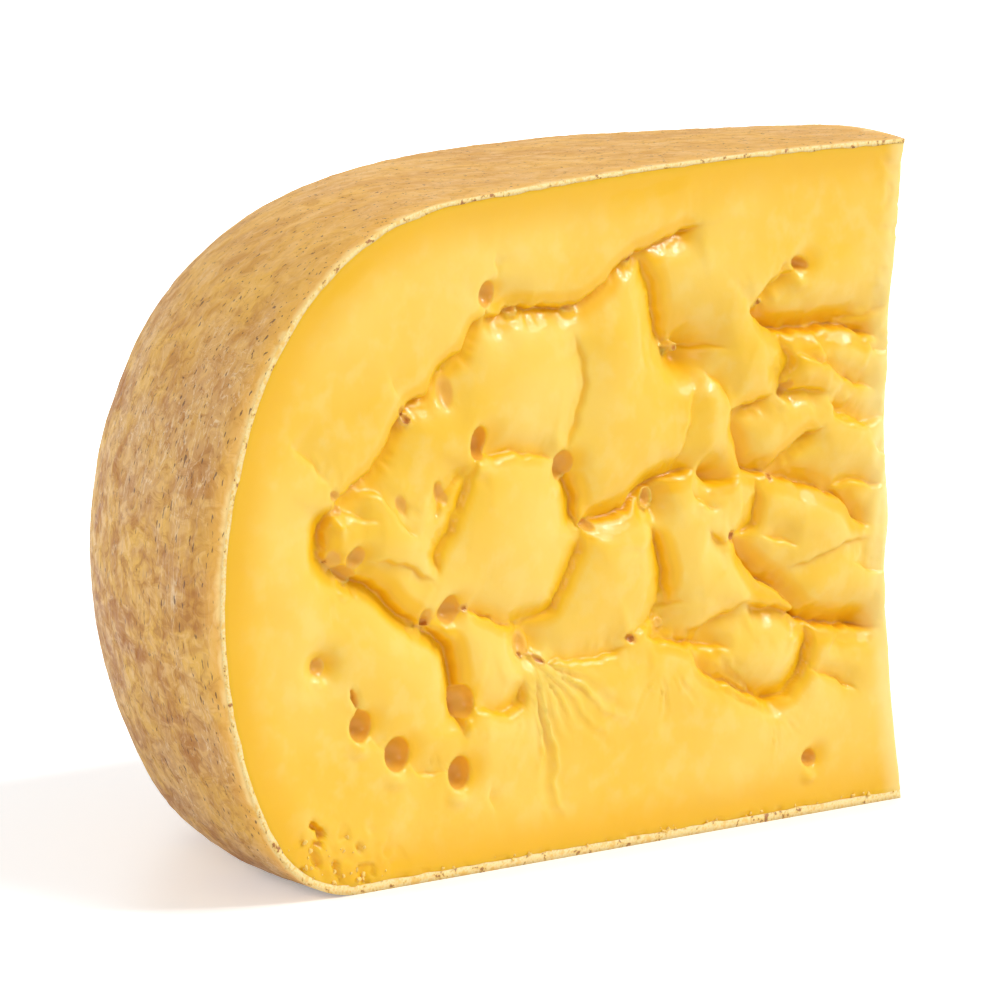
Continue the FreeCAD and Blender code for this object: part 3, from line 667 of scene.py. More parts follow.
# %% [markdown]
# The rounded lip comes from a running mean along the section, and the grid's points close to the
# rim are snapped onto it, so that the rim is a clean round.

# %% Opening the eyes
LIP = 0.42
SNAP = 0.5
DEPTH_GAIN, DEPTH_LESS = 0.5, 0.2
SMALL_EYE, SMALL_GAIN = 1.25, 1.7


def eye_section(radius, below, outer):
    """An eye's section, from its bottom to the face round it, with a rounded lip.

    below is how far the ball's middle lies under the face, as a share of its radius.
    """
    mouth = radius * math.sqrt(1.0 - below ** 2)
    turn = np.linspace(0.0, math.pi - math.acos(below), 90)
    wall = np.stack([radius * np.sin(turn), -below * radius - radius * np.cos(turn)], axis=1)
    flat = np.stack([np.linspace(mouth, outer, 60)[1:], np.zeros(59)], axis=1)
    line = np.vstack([wall, flat])
    steps = np.concatenate([[0.0], np.cumsum(np.hypot(*np.diff(line, axis=0).T))])
    even = np.linspace(0.0, steps[-1], 260)
    line = np.stack([np.interp(even, steps, line[:, axis]) for axis in (0, 1)], axis=1)
    reach_cells = max(1, int(LIP / even[1]))
    window = np.ones(2 * reach_cells + 1) / (2 * reach_cells + 1)
    padded = np.vstack([np.repeat(line[:1], reach_cells, axis=0) * [-1, 1], line,
                        np.repeat(line[-1:], reach_cells, axis=0)])
    soft = np.stack([np.convolve(padded[:, axis], window, mode="valid")
                     for axis in (0, 1)], axis=1)
    soft[0, 0] = 0.0
    return even / steps[-1], soft, steps[len(wall) - 1] / steps[-1]


def open_eyes(along, height, eyes):
    """Moves grid points onto the eyes' walls. Gives new places, depths and an eye share holding
    painted shade.
    """
    along, height = along.ravel().copy(), height.ravel().copy()
    depth = np.zeros(len(along))
    inside = np.zeros(len(along))
    for u, z, wide, tall, turn, below in eyes:
        radius = max(wide, tall)
        outer = 1.55 * radius + 0.8
        gathered = 0.68 * outer
        cosine, sine = math.cos(math.radians(turn)), math.sin(math.radians(turn))
        over, up = along - u, height - z
        local = np.stack([(over * cosine + up * sine) / (wide / radius),
                          (up * cosine - over * sine) / (tall / radius)])
        gap = np.hypot(*local)
        which = np.flatnonzero(gap < outer)
        share, line, lip = eye_section(radius, DEPTH_GAIN * below - DEPTH_LESS, outer)
        off_rim = gap[which] - gathered
        pull = np.minimum(np.abs(off_rim) / SNAP, 1.0)
        place = np.interp(gathered + off_rim * pull, [0.0, gathered, outer], [0.0, lip, 1.0])
        new_gap = np.interp(place, share, line[:, 0])
        depth[which] += np.interp(place, share, line[:, 1])
        unit = local[:, which] / np.maximum(gap[which], 1e-6)
        local_u = unit[0] * new_gap * (wide / radius)
        local_z = unit[1] * new_gap * (tall / radius)
        along[which] = u + local_u * cosine - local_z * sine
        height[which] = z + local_u * sine + local_z * cosine
        # painted shade: the deeper a point lies in the eye, the darker its wall is painted
        wall = np.clip(-np.interp(place, share, line[:, 1]) / (0.4 * radius), 0.0, 1.0)
        # painted shade: light falls deep into the upper left wall, so the lower right one is
        # painted a darker gold; small eyes are painted darker still
        toward = -(0.8 * unit[0] + 0.6 * unit[1]) * new_gap / radius
        wall = wall * (0.78 + 0.5 * ramp(-0.2, 1.0, toward)) * (
            SMALL_GAIN if radius < SMALL_EYE else 1.0)
        inside[which] = np.maximum(inside[which], wall)
    return along, height, depth, inside


print("an eye's lip is rounded over %.2f mm" % LIP)

# %% [markdown]
# ## The paste
#
# The paste is one closed mesh: the front cut, the second cut, and a plain wall under the rind
# that nobody sees. A fine even grid is fitted into the outline of each cut, with two corners at
# the nose and one on each shoulder, and then relaxed, as a net pulled over a hoop, so its cells
# stay nearly square and never fold.

# %% The outlines
RIND = (1.35, 0.85, 0.65)
TUCK = 0.25
UNDER_RIND = tuple(thick - TUCK for thick in RIND)
NET_ACROSS, NET_UP = 310, 222
SECOND_ACROSS = 84
NET_ROUNDS = 160
NET_CORNERS = (0.0, 1.10, 1.84, 3.0)
FINE = 2000


def even_shares(direction, first, last, count, depths):
    """Shares, evenly spaced along a section's line, between two shares."""
    fine = np.linspace(first, last, FINE)
    lengths = length_shares(section(direction, fine, depths))
    return np.interp(np.linspace(0.0, 1.0, count), lengths, fine)


def outline(direction, across, depths):
    """The three stretches of a cut's outline as section points: bottom, rim and top."""
    stretches = zip(NET_CORNERS, NET_CORNERS[1:], (across, NET_UP, across))
    return [section(direction, even_shares(direction, first, last, count, depths), depths)
            for first, last, count in stretches]


def net(bottom, rim, top, nose):
    """A net of points inside four border lines, relaxed until it lies evenly."""
    across, up = len(bottom), len(nose)
    s = np.linspace(0, 1, across)[None, :, None]
    t = np.linspace(0, 1, up)[:, None, None]
    grid = ((1 - t) * bottom[None] + t * top[None] + (1 - s) * nose[:, None] + s * rim[:, None]
            - (1 - s) * (1 - t) * bottom[0] - s * (1 - t) * bottom[-1]
            - (1 - s) * t * top[0] - s * t * top[-1])
    for _ in range(NET_ROUNDS):
        grid[1:-1, 1:-1] = 0.25 * (grid[:-2, 1:-1] + grid[2:, 1:-1]
                                   + grid[1:-1, :-2] + grid[1:-1, 2:])
    return grid


def nose_line(depths):
    """The nose between the two skins, as section points at distance zero."""
    low = section(FRONT_DIRECTION, [0.0], depths)[0, 1]
    high = section(FRONT_DIRECTION, [3.0], depths)[0, 1]
    heights = np.linspace(low, high, NET_UP)
    return np.stack([np.zeros(NET_UP), heights], axis=1)


front_bottom, front_rim, front_top = outline(FRONT_DIRECTION, NET_ACROSS, UNDER_RIND)
second_bottom, second_rim, second_top = outline(SECOND_DIRECTION, SECOND_ACROSS, UNDER_RIND)
front_net = net(front_bottom, front_rim, front_top[::-1], nose_line(UNDER_RIND))
second_net = net(second_bottom, second_rim, second_top[::-1], nose_line(UNDER_RIND))
print("front net", front_net.shape[:2], "second net", second_net.shape[:2])

# %% [markdown]
# The second cut gets its seams and eyes from a seeded generator: it was torn by the same knife
# through the same curd, so it has the same kinds of marks, spread at random.

# %% Seams and eyes of the second cut
chance = np.random.default_rng(11)


def torn_marks(wide, tall):
    """Seams, swellings, hollows and eyes for a face of that size."""
    seams, swellings, hollows, eyes = [], [], [], []
    for _ in range(15):
        turn = chance.uniform(-0.6, 0.6) + chance.choice([0.0, 1.2, -1.2])
        spot = np.array([chance.uniform(12, wide - 30), chance.uniform(18, tall - 18)])
        points = [spot]
        for _ in range(chance.integers(3, 6)):
            turn += chance.uniform(-0.7, 0.7)
            spot = spot + chance.uniform(5, 9) * np.array([math.cos(turn), math.sin(turn)])
            points.append(spot)
        seams.append((chance.uniform(0.6, 1.5), chance.uniform(0.9, 1.4),
                      chance.uniform(-0.5, 0.5), points))
    for _ in range(22):
        swellings.append((chance.uniform(8, wide - 12), chance.uniform(14, tall - 14),
                          chance.uniform(7, 14), chance.uniform(6, 12),
                          chance.uniform(0.3, 0.8)))
    for _ in range(5):
        hollows.append((chance.uniform(20, wide - 30), chance.uniform(20, tall - 20),
                        chance.uniform(2.5, 4), chance.uniform(2.5, 4), chance.uniform(0.8, 1.8)))
    for _ in range(9):
        size = chance.uniform(2.0, 3.0)
        eyes.append((chance.uniform(18, wide - 25), chance.uniform(14, tall - 20), size,
                     size * chance.uniform(0.85, 1.15), 0, chance.uniform(0.2, 0.5)))
    return seams, swellings, hollows, eyes


SECOND_WIDTH = second_net[:, :, 0].max()
second_seams, second_swellings, second_hollows, second_eyes = torn_marks(
    SECOND_WIDTH, WHEEL_HEIGHT)
print(len(second_seams), "seams and", len(second_eyes), "eyes on the second cut")

# %% [markdown]
# Noise on the paste is laid in four sizes, from slow swells a thumb wide, through curd grains of
# a few millimetres, down to a fine roughness. Towards the heel the paste is drier and crumbles
# under the knife, so the low corner by the rind is rougher than the rest, with small pits.

# %% Carving a face
SWELL_NOISE = ((0.45, 24.0, 1), (0.20, 8.0, 2), (0.04, 2.6, 3))
FINE_NOISE, CRUMBLE_NOISE, PIT_DEPTH = 0.02, 0.5, 1.1
CORNER, CORNER_REACH = (131.0, 8.0), (12.0, 8.0)
CALM_FROM, CALM_TO = 0.2, 4.5
EDGE_DROP = 0.09
EVERYWHERE = 500.0


def grain(places, size, seed):
    """Noise about zero at places in millimetres, with features about that size."""
    shift = Vector((seed * 7.31, seed * 3.17, seed * 5.73))
    return np.array([noise.noise(Vector(place) / size + shift) for place in places])


def carve(grid, direction, outward, border, seams, swellings, hollows, fans, eyes, crumbly):
    """A cut face: places in space, and what the material needs to know of each point."""
    points = grid.reshape(-1, 2)
    inward = sunk(points[:, 1]) / math.sin(WEDGE)
    is_front = direction[0] == FRONT_DIRECTION[0]
    along = points[:, 0] + (inward if is_front else 0.0)
    along, height = gather(along, points[:, 1], seams)
    along, height, depth, eye_wall_shade = open_eyes(along, height, eyes)
    rise, cleft = relief(along, height, grid.shape[:2], seams, swellings, hollows, fans)
    by_eyes, golden = round_eyes(along, height, eyes)
    # painted shade: the deeper gold beside the eyes joins the seams' painted shade
    rise, cleft = rise + by_eyes, np.maximum(cleft, golden)
    _, gap, _, _ = near_line(along, height, border, EVERYWHERE)
    flat = np.stack([along, height, 0.0 * along], axis=1)
    rise += sum(amount * grain(flat, size, seed) for amount, size, seed in SWELL_NOISE)
    rough = crumbly(along, height)
    holes = ramp(0.12, 0.30, grain(flat, 2.6, 6))
    rise += FINE_NOISE * grain(flat, 1.3, 4) + rough * (
        CRUMBLE_NOISE * grain(flat, 1.7, 5) - PIT_DEPTH * holes)
    # painted shade: a deeper gold in the pits of the crumbly paste
    cleft = np.maximum(cleft, 0.8 * rough * holes)
    by_corner = ramp(*CORNER_REACH, np.hypot(along - CORNER[0], height - CORNER[1]))
    # painted shade: in the crumbly corner the eyes' walls are painted a deep gold instead of tan
    cleft = np.maximum(cleft, 1.3 * by_corner * np.minimum(eye_wall_shade, 1.0))
    eye_wall_shade = eye_wall_shade * np.minimum(ramp(0.5, 0.1, rough), 1.0 - by_corner)
    calm = np.maximum(ramp(CALM_FROM, CALM_TO, gap), 0.8 * rough * ramp(0.0, 0.6, gap))
    rise = rise * calm * (1.0 - 0.6 * np.minimum(eye_wall_shade, 1.0)) + depth
    rise -= EDGE_DROP * ramp(0.7, 0.25, gap)
    distance = along - (sunk(height) / math.sin(WEDGE) if is_front else 0.0)
    places = stand(np.stack([distance, height], axis=1), direction)
    places[:, :2] += rise[:, None] * outward
    return places, gap, eye_wall_shade, np.clip(cleft, 0.0, 2.0), points[:, 0], rough


def front_crumbly(along, height):
    """Where the front cut crumbles: the low corner by the rind and the foot of the cut."""
    corner = ramp(15.0, 5.0, np.hypot((along - 130.0) / 1.5, height + 1.0))
    foot = ramp(3.2, 0.8, height) * 0.8
    nose_side = 0.25 * ramp(9.0, 3.0, along) * ramp(40.0, 50.0, height)
    return np.maximum(np.maximum(corner, foot), nose_side)


def border_line(bottom, rim, top, sunk_in):
    """The whole outline under the rind, as distances along the face and heights."""
    line = np.vstack([bottom, rim[1:], top[1:]])
    return np.stack([line[:, 0] + sunk_in * sunk(line[:, 1]) / math.sin(WEDGE),
                     line[:, 1]], axis=1)


FRONT_OUT = np.array([0.0, -1.0])
SECOND_OUT = np.array([math.sin(WEDGE), math.cos(WEDGE)])
front_face = carve(front_net, FRONT_DIRECTION, FRONT_OUT,
                   border_line(front_bottom, front_rim, front_top, 1.0),
                   SEAMS, SWELLINGS, HOLLOWS, FANS, EYES, front_crumbly)
second_face = carve(second_net, SECOND_DIRECTION, SECOND_OUT,
                    border_line(second_bottom, second_rim, second_top, 0.0),
                    second_seams, second_swellings, second_hollows, [], second_eyes,
                    lambda along, height: ramp(3.5, 0.5, height) * 0.8)
print("front face stands out %.2f mm at most" % (NOSE[1] - front_face[0][:, 1].min()))

# %% [markdown]
# The two faces share the line of the nose. The hidden wall is a fan of plain sections between
# their borders, zipped together into one closed skin.

# %% The paste
WALL_SECTIONS, WALL_POINTS = 14, 40


def chain_round(numbers):
    """The border of a net of vertex numbers, from the foot of the nose round to its top."""
    return list(numbers[0]) + list(numbers[1:, -1]) + list(numbers[-1, -2::-1])


def net_faces(numbers):
    """The quads of a net of vertex numbers."""
    low, right = numbers[:-1, :-1], numbers[:-1, 1:]
    high, far = numbers[1:, :-1], numbers[1:, 1:]
    return np.stack([low, right, far, high], axis=-1).reshape(-1, 4)


def paste_mesh():
    """Vertices and faces of the paste, with the values its material reads."""
    up, across = front_net.shape[:2]
    front_numbers = np.arange(up * across).reshape(up, across)
    # the second cut shares the nose with the front cut
    more = second_net.shape[1]
    second_numbers = np.empty((up, more), dtype=int)
    second_numbers[:, 0] = front_numbers[:, 0]
    second_numbers[:, 1:] = (up * across + np.arange(up * (more - 1))).reshape(up, more - 1)
    keep = np.arange(up * more).reshape(up, more)[:, 1:].ravel()
    places = np.vstack([front_face[0], second_face[0][keep]])
    values = [np.concatenate([one, other[keep]])
              for one, other in zip(front_face[1:], second_face[1:])]
    faces = [net_faces(front_numbers), net_faces(second_numbers)]
    # the wall under the rind, as a fan of sections
    chains = [chain_round(front_numbers)]
    foot, head = front_numbers[0, 0], front_numbers[-1, 0]
    turns = np.linspace(math.pi, math.pi - WEDGE, WALL_SECTIONS)[1:-1]
    count = len(places)
    for turn in turns:
        direction = np.array([math.cos(turn), math.sin(turn)])
        shares = even_shares(direction, 0.0, 3.0, WALL_POINTS, UNDER_RIND)[1:-1]
        wall = stand(section(direction, shares, UNDER_RIND), direction)
        places = np.vstack([places, wall])
        chains.append([foot, *range(count, count + len(wall)), head])
        count += len(wall)
    chains.append(chain_round(second_numbers))
    triangles = [face for first, second in zip(chains, chains[1:])
                 for face in zip_chains(places, first, second)]
    values = [np.concatenate([value, np.zeros(count - len(value))]) for value in values]
    return places, list(np.vstack(faces)) + triangles, values


def give(piece, name, values):
    """Writes one value for each vertex as an attribute that a material can read."""
    attribute = piece.data.attributes.new(name, "FLOAT", "POINT")
    attribute.data.foreach_set("value", np.asarray(values, dtype=np.float32))


paste_places, paste_faces, paste_values = paste_mesh()
paste = make_piece("paste", paste_places, paste_faces)
for value_name, values in zip(("rind_gap", "eye", "cleft", "nose_gap", "crumbly"), paste_values):
    give(paste, value_name, values)

# %% [markdown]
# ## The rind
#
# The rind is a skin about a millimetre thick, swept round the paste as a fan of sections like
# the hidden wall. Its inner side is ragged, and its two ends are the cut edges of the rind, which
# show as a pale line. Each vertex keeps its distance from the nearer cut, and whether it is free
# to swell: only the outer skin is.

# %% The rind
RIND_SECTIONS = 270
RIND_POINTS = 210
INNER_POINTS = 150
RAGGED, RAGGED_SIZE = 0.55, 2.6
NO_DEPTH = (0.0, 0.0, 0.0)


def rind_mesh():
    """Vertices and faces of the rind, which vertices are free, and where cut edges start."""
    turns = np.linspace(math.pi, math.pi - WEDGE, RIND_SECTIONS)
    # the foot and the head of the nose, outside and then inside
    places = [stand(section(FRONT_DIRECTION, [share], depths), FRONT_DIRECTION)[0]
              for depths in (NO_DEPTH, RIND) for share in (0.0, 3.0)]
    free = [0.0] * len(places)
    outer, inner = [], []
    for turn in turns:
        direction = np.array([math.cos(turn), math.sin(turn)])
        for depths, count, chains, ends in ((NO_DEPTH, RIND_POINTS, outer, (0, 1)),
                                            (RIND, INNER_POINTS, inner, (2, 3))):
            shares = even_shares(direction, 0.0, 3.0, count, depths)[1:-1]
            wall = section(direction, shares, depths)
            if chains is inner:
                lumps = grain(np.column_stack([wall, 0 * wall[:, 0]]), RAGGED_SIZE, 8)
                ragged = RAGGED * np.maximum(lumps, 0.0) * ramp(0.0, 3.0, wall[:, 0])
                slope = np.gradient(wall, axis=0)
                slope /= np.hypot(*slope.T)[:, None]
                wall = wall + ragged[:, None] * slope[:, ::-1] * [-1.0, 1.0]
            wall = stand(wall, direction)
            start = len(places)
            places += list(wall)
            free += [1.0 if chains is outer else 0.0] * len(wall)
            chains.append([ends[0], *range(start, start + len(wall)), ends[1]])
    places = np.array(places)
    faces = []
    for chains in (outer, inner):
        numbers = np.array(chains)
        faces += [tuple(dict.fromkeys(face)) for face in net_faces(numbers)]
    skin_faces = len(faces)
    for end in (0, -1):
        faces += zip_chains(places, outer[end], inner[end])
    return places, faces, free, skin_faces


rind_places, rind_faces, rind_free, skin_faces = rind_mesh()
rind = make_piece("rind", rind_places, rind_faces)
give(rind, "free", rind_free)
from_nose = rind_places[:, :2] - NOSE
front_gap = from_nose @ np.array([0.0, 1.0])
second_gap = -(from_nose @ SECOND_OUT) - sunk(rind_places[:, 2])
give(rind, "cut_gap", np.maximum(np.minimum(front_gap, second_gap), 0.0))
edge = rind.data.attributes.new("cut edge", "BOOLEAN", "FACE")
edge.data.foreach_set("value", [number >= skin_faces for number in range(len(rind_faces))])
print("widest gap from the cuts: %.1f mm" % np.minimum(front_gap, second_gap).max())

# %% [markdown]
# ## Helpers for materials
#
# Colours are given as a painter would pick them, as sRGB hex codes, and turned to the linear
# values that the render works in by one function. Another adds a node with its settings and its
# links and gives the output that is wanted, and a third lays colours over each other where a
# value says so. With these, a material reads from top to bottom.

# %% Colours and nodes
def linear(code):
    """An sRGB hex code as linear red, green, blue and alpha."""
    parts = [int(code[start:start + 2], 16) / 255.0 for start in (1, 3, 5)]
    return [part / 12.92 if part <= 0.04045 else ((part + 0.055) / 1.055) ** 2.4
            for part in parts] + [1.0]


def feed(tree, node, **inputs):
    """Sets or links a node's inputs, given by name (Base_Color) or by number (n0)."""
    for name, value in inputs.items():
        socket = node.inputs[int(name[1:]) if name[0] == "n" and name[1:].isdigit()
                             else name.replace("_", " ")]
        if isinstance(value, bpy.types.NodeSocket):
            tree.links.new(value, socket)
        else:
            socket.default_value = value


def add(tree, kind, settings=None, out=0, **inputs):
    """Adds a node with its settings and links, and gives one of its outputs, if it has any.

    A colour ramp's settings are its stops: pairs of a position and a hex code.
    """
    node = tree.nodes.new(kind)
    for name, value in (settings or {}).items():
        if name == "stops":
            band = node.color_ramp
            while len(band.elements) < len(value):
                band.elements.new(0.5)
            for element, (position, code) in zip(band.elements, value):
                element.position, element.color = position, linear(code)
        else:
            setattr(node, name, value)
    feed(tree, node, **inputs)
    return node.outputs[out] if len(node.outputs) else node


TIMES, PLUS, MINUS, LARGER, SIZE = ({"operation": name} for name in (
    "MULTIPLY", "ADD", "SUBTRACT", "MAXIMUM", "ABSOLUTE"))
SOFT = {"interpolation_type": "SMOOTHSTEP"}


def layered(tree, base, *rows):
    """Colours over a base: a value, where its colour starts and is full, how much, the code."""
    for value, start, full, amount, code in rows:
        factor = add(tree, "ShaderNodeMapRange", SOFT, Value=value, From_Min=start,
                     From_Max=full, To_Max=amount)
        base = add(tree, "ShaderNodeMix", {"data_type": "RGBA"}, 2, n0=factor, n6=base,
                   n7=linear(code))
    return base


def new_material(name):
    """A material with a Principled shader: the material, its tree and the shader."""
    material = bpy.data.materials.new(name)
    material.use_nodes = True
    tree = material.node_tree
    return material, tree, tree.nodes["Principled BSDF"]


print("cream in linear light:", [round(part, 3) for part in linear("#FFF3C0")[:3]])

# %% [markdown]
# ## The paste's colour
#
# Pressed paste is moist and lets light a few millimetres in, so a shaded fold glows golden and
# doesn't turn grey. The shader does that with subsurface scattering, and the mesh tells it more:
# how far the rind is, because the paste ripens to a deeper gold under it; how deep in a seam, a
# hollow or a pit a point lies, where a deeper gold is painted shade; whether it's on the wall of
# an eye, which is painted tan, darker deeper in and on the lower right, as painted shade; and how
# near the thin nose is, where a paler colour is a painted glow of light through the thin edge. A
# value below zero in the seams' attribute would be a crest, painted paler as a painted highlight;
# the carving clips the values at zero, so none reaches the mesh.

# %% The paste's material
def paste_material():
    """Moist pressed paste, softly glossy: pale yellow, golden by the rind, painted shade in seams
    and tan eyes.
    """
    material, tree, shader = new_material("paste, knife-torn")
    place = add(tree, "ShaderNodeTexCoord", out="Object")
    rind_gap, nose_gap, cleft, eye = (
        add(tree, "ShaderNodeAttribute", {"attribute_name": name}, "Fac")
        for name in ("rind_gap", "nose_gap", "cleft", "eye"))
    slow = add(tree, "ShaderNodeTexNoise", Vector=place, Scale=1.0 / (28 * MM))
    curd = add(tree, "ShaderNodeTexNoise", Vector=place, Scale=1.0 / (5 * MM), Detail=3.0)
    fine = add(tree, "ShaderNodeTexNoise", Vector=place, Scale=1.0 / (1.1 * MM), Roughness=0.6)
    base = add(tree, "ShaderNodeValToRGB", {"stops": [(0.35, "#F4C434"), (0.65, "#F8CF58")]},
               Fac=slow)
    base = layered(
        tree, base,
        (curd, 0.45, 0.7, 0.3, "#FADD84"),
        (rind_gap, 10.0, 1.0, 0.95, "#EFB600"),
        # painted highlight: paler on a crest, where the seams' value is below zero
        (cleft, -0.05, -0.9, 0.85, "#FFEFB4"),
        # painted shade: a deeper gold in seams, hollows, pits and beside the eyes
        (cleft, 0.02, 0.7, 0.95, "#F4BC00"),
        (cleft, 0.7, 1.8, 0.9, "#DE9800"),
        # painted glow: paler near the thin nose, for light shining through it
        (nose_gap, 5.0, 0.0, 0.6, "#FFE79C"),
        # painted shade: tan on the walls of the eyes, darker deeper in
        (eye, 0.12, 0.8, 0.9, "#ECB444"),
        (eye, 1.2, 1.9, 0.9, "#B8680A"))
    rough = add(tree, "ShaderNodeMapRange", SOFT, Value=curd, From_Min=0.35, From_Max=0.65,
                To_Min=0.42, To_Max=0.52)
    feed(tree, shader, Base_Color=base, Roughness=rough, IOR=1.45, Specular_IOR_Level=0.3,
         Normal=add(tree, "ShaderNodeBump", Strength=0.22, Distance=0.12 * MM, Height=fine))
    feed(tree, shader, Subsurface_Weight=0.35, Subsurface_Radius=(1.0, 0.85, 0.22),
         Subsurface_Scale=3.0 * MM)
    feed(tree, shader, Coat_Weight=0.3, Coat_Roughness=0.09, Coat_IOR=1.42)
    return material


paste.data.materials.append(paste_material())
print("paste material:", paste.data.materials[0].name)

# %% [markdown]
# ## The rind's colour
#
# A washed rind is wet again and again, rubbed with a cloth and dried on boards. So its colour is
# laid as the cellar lays it: a mottled tan, a greyer bloom in long patches, short wrinkles where
# the skin has shrunk, threads of white mould, mostly in the bloom, a net of faint creases, and
# dark pits. The wrinkles' colour follows their bump: pale on the crests as painted highlight and
# brown in the grooves as painted shade. The top is painted lighter and more golden than the heel,
# as painted light from above, and beside a fresh cut the rind is moist and pale.

# %% The rind's materials
def stretched(tree, place, level, upright):
    """Object coordinates, pressed so that noise of size one is this many mm level and upright."""
    return add(tree, "ShaderNodeVectorMath", TIMES, n0=place,
               n1=(1.0 / (level * MM), 1.0 / (level * MM), 1.0 / (upright * MM)))


def creases(tree, place):
    """How far each place is from a net of creases whose cells are about 9 mm wide."""
    wobble = add(tree, "ShaderNodeTexNoise", out="Color", Scale=1.0,
                 Vector=stretched(tree, place, 4.0, 6.0))
    warped = add(tree, "ShaderNodeVectorMath", PLUS, n0=stretched(tree, place, 9.0, 8.0),
                 n1=wobble)
    return add(tree, "ShaderNodeTexVoronoi", {"feature": "DISTANCE_TO_EDGE"}, "Distance",
               Vector=warped, Scale=1.0)


def rind_material():
    """Washed rind: dry tan skin with bloom, short wrinkles, white threads and dark pits."""
    material, tree, shader = new_material("rind, washed and dried")
    place = add(tree, "ShaderNodeTexCoord", out="Object")
    # how large each pattern is, level and upright in millimetres, and how it is broken up
    mottle, bloom, wrinkle, fleck, thread = (
        add(tree, "ShaderNodeTexNoise", Vector=stretched(tree, place, level, upright),
            Scale=1.0, Detail=detail, Roughness=rough, Distortion=warp)
        for level, upright, detail, rough, warp in (
            (15.0, 9.0, 4.0, 0.62, 0.8), (22.0, 34.0, 4.0, 0.6, 0.5),
            (4.4, 2.7, 3.0, 0.62, 0.8), (0.8, 2.4, 2.0, 0.5, 0.0),
            (2.6, 14.0, 3.0, 0.6, 0.5)))
    off_thread = add(tree, "ShaderNodeMath", SIZE,
                     n0=add(tree, "ShaderNodeMath", MINUS, n0=thread, n1=0.5))
    on_thread = add(tree, "ShaderNodeMapRange", SOFT, Value=off_thread, From_Min=0.02,
                    From_Max=0.004)
    in_bloom = add(tree, "ShaderNodeMapRange", SOFT, Value=bloom, From_Min=0.50,
                   From_Max=0.64, To_Min=0.04, To_Max=0.38)
    mould = add(tree, "ShaderNodeMath", TIMES, n0=on_thread, n1=in_bloom)
    near_cut = add(tree, "ShaderNodeMath", PLUS, n0=add(
        tree, "ShaderNodeAttribute", {"attribute_name": "cut_gap"}, "Fac"),
        n1=add(tree, "ShaderNodeMath", TIMES, n0=mottle, n1=9.0))
    tall = add(tree, "ShaderNodeSeparateXYZ", out="Z", Vector=place)
    base = add(tree, "ShaderNodeValToRGB", {"stops": [
        (0.38, "#A86E22"), (0.49, "#C08C38"), (0.60, "#D6A648")]}, Fac=mottle)
    base = layered(
        tree, base,
        (bloom, 0.50, 0.64, 0.55, "#C99E68"),
        # painted highlight and shade: the wrinkles' colour follows their bump, pale on crests and
        # brown in grooves
        (wrinkle, 0.51, 0.66, 0.45, "#E3B666"),
        (wrinkle, 0.46, 0.34, 0.5, "#965A1E"))
    base = add(tree, "ShaderNodeMix", {"data_type": "RGBA"}, 2, n0=mould, n6=base,
               n7=linear("#EFDFC0"))
    base = layered(
        tree, base,
        (creases(tree, place), 0.07, 0.0, 0.25, "#93592A"),
        # painted light: the top is painted lighter and more golden, for the light from above
        (tall, 70 * MM, 106 * MM, 0.5, "#EFB450"),
        (near_cut, 12.0, 4.2, 0.7, "#EDB24A"),
        (near_cut, 6.6, 4.4, 0.75, "#F8D890"),
        (fleck, 0.655, 0.70, 0.8, "#5B3A1D"))
    pits = add(tree, "ShaderNodeMapRange", SOFT, Value=fleck, From_Min=0.655, From_Max=0.70,
               To_Max=0.3)
    fine = add(tree, "ShaderNodeBump", Strength=0.8, Distance=0.6 * MM,
               Height=add(tree, "ShaderNodeMath", MINUS, n0=wrinkle, n1=pits))
    rough = add(tree, "ShaderNodeMapRange", SOFT, Value=wrinkle, From_Min=0.3, From_Max=0.7,
                To_Min=0.68, To_Max=0.48)
    feed(tree, shader, Base_Color=base, Roughness=rough, IOR=1.45, Normal=fine)
    return material


def cut_rind_material():
    """The cut edge of the rind: dry and cream, with a few brown pores."""
    material, tree, shader = new_material("rind, cut edge")
    pores = add(tree, "ShaderNodeTexNoise", Vector=add(tree, "ShaderNodeTexCoord", out="Object"),
                Scale=1.0 / (1.3 * MM), Detail=3.0, Roughness=0.6)
    base = add(tree, "ShaderNodeValToRGB", {"stops": [
        (0.34, "#A8703A"), (0.39, "#F0C870"), (0.5, "#FAE0A0"), (0.66, "#F3C468")]}, Fac=pores)
    feed(tree, shader, Base_Color=base, Roughness=0.6, Subsurface_Weight=0.2,
         Subsurface_Radius=(1.0, 0.6, 0.2), Subsurface_Scale=1.5 * MM)
    return material


SKIN_MATERIAL, EDGE_MATERIAL = rind_material(), cut_rind_material()
print("rind materials:", SKIN_MATERIAL.name, "|", EDGE_MATERIAL.name)

# %% [markdown]
# ## The rind's relief, with Geometry Nodes
#
# The rind's shape follows a rule: it swells at random, wrinkles more up and down than round the
# wheel, and lies still where the knife went through. So a node tree moves every free point of the
# skin along its normal by two layers of noise, read at the point's own place. The tree also hands
# out the two materials, and its result is baked to a plain mesh.

# %% The washed skin
def new_tree(name, sizes):
    """A geometry node tree with a mesh input and named sizes: tree, group input, group output."""
    tree = bpy.data.node_groups.new(name, "GeometryNodeTree")
    tree.interface.new_socket("Geometry", in_out="INPUT", socket_type="NodeSocketGeometry")
    for size_name, (kind, value) in sizes.items():
        socket = tree.interface.new_socket(size_name, in_out="INPUT",
                                           socket_type="NodeSocket" + kind)
        socket.default_value = value
    tree.interface.new_socket("Geometry", in_out="OUTPUT", socket_type="NodeSocketGeometry")
    return tree, add(tree, "NodeGroupInput").node.outputs, add(tree, "NodeGroupOutput")


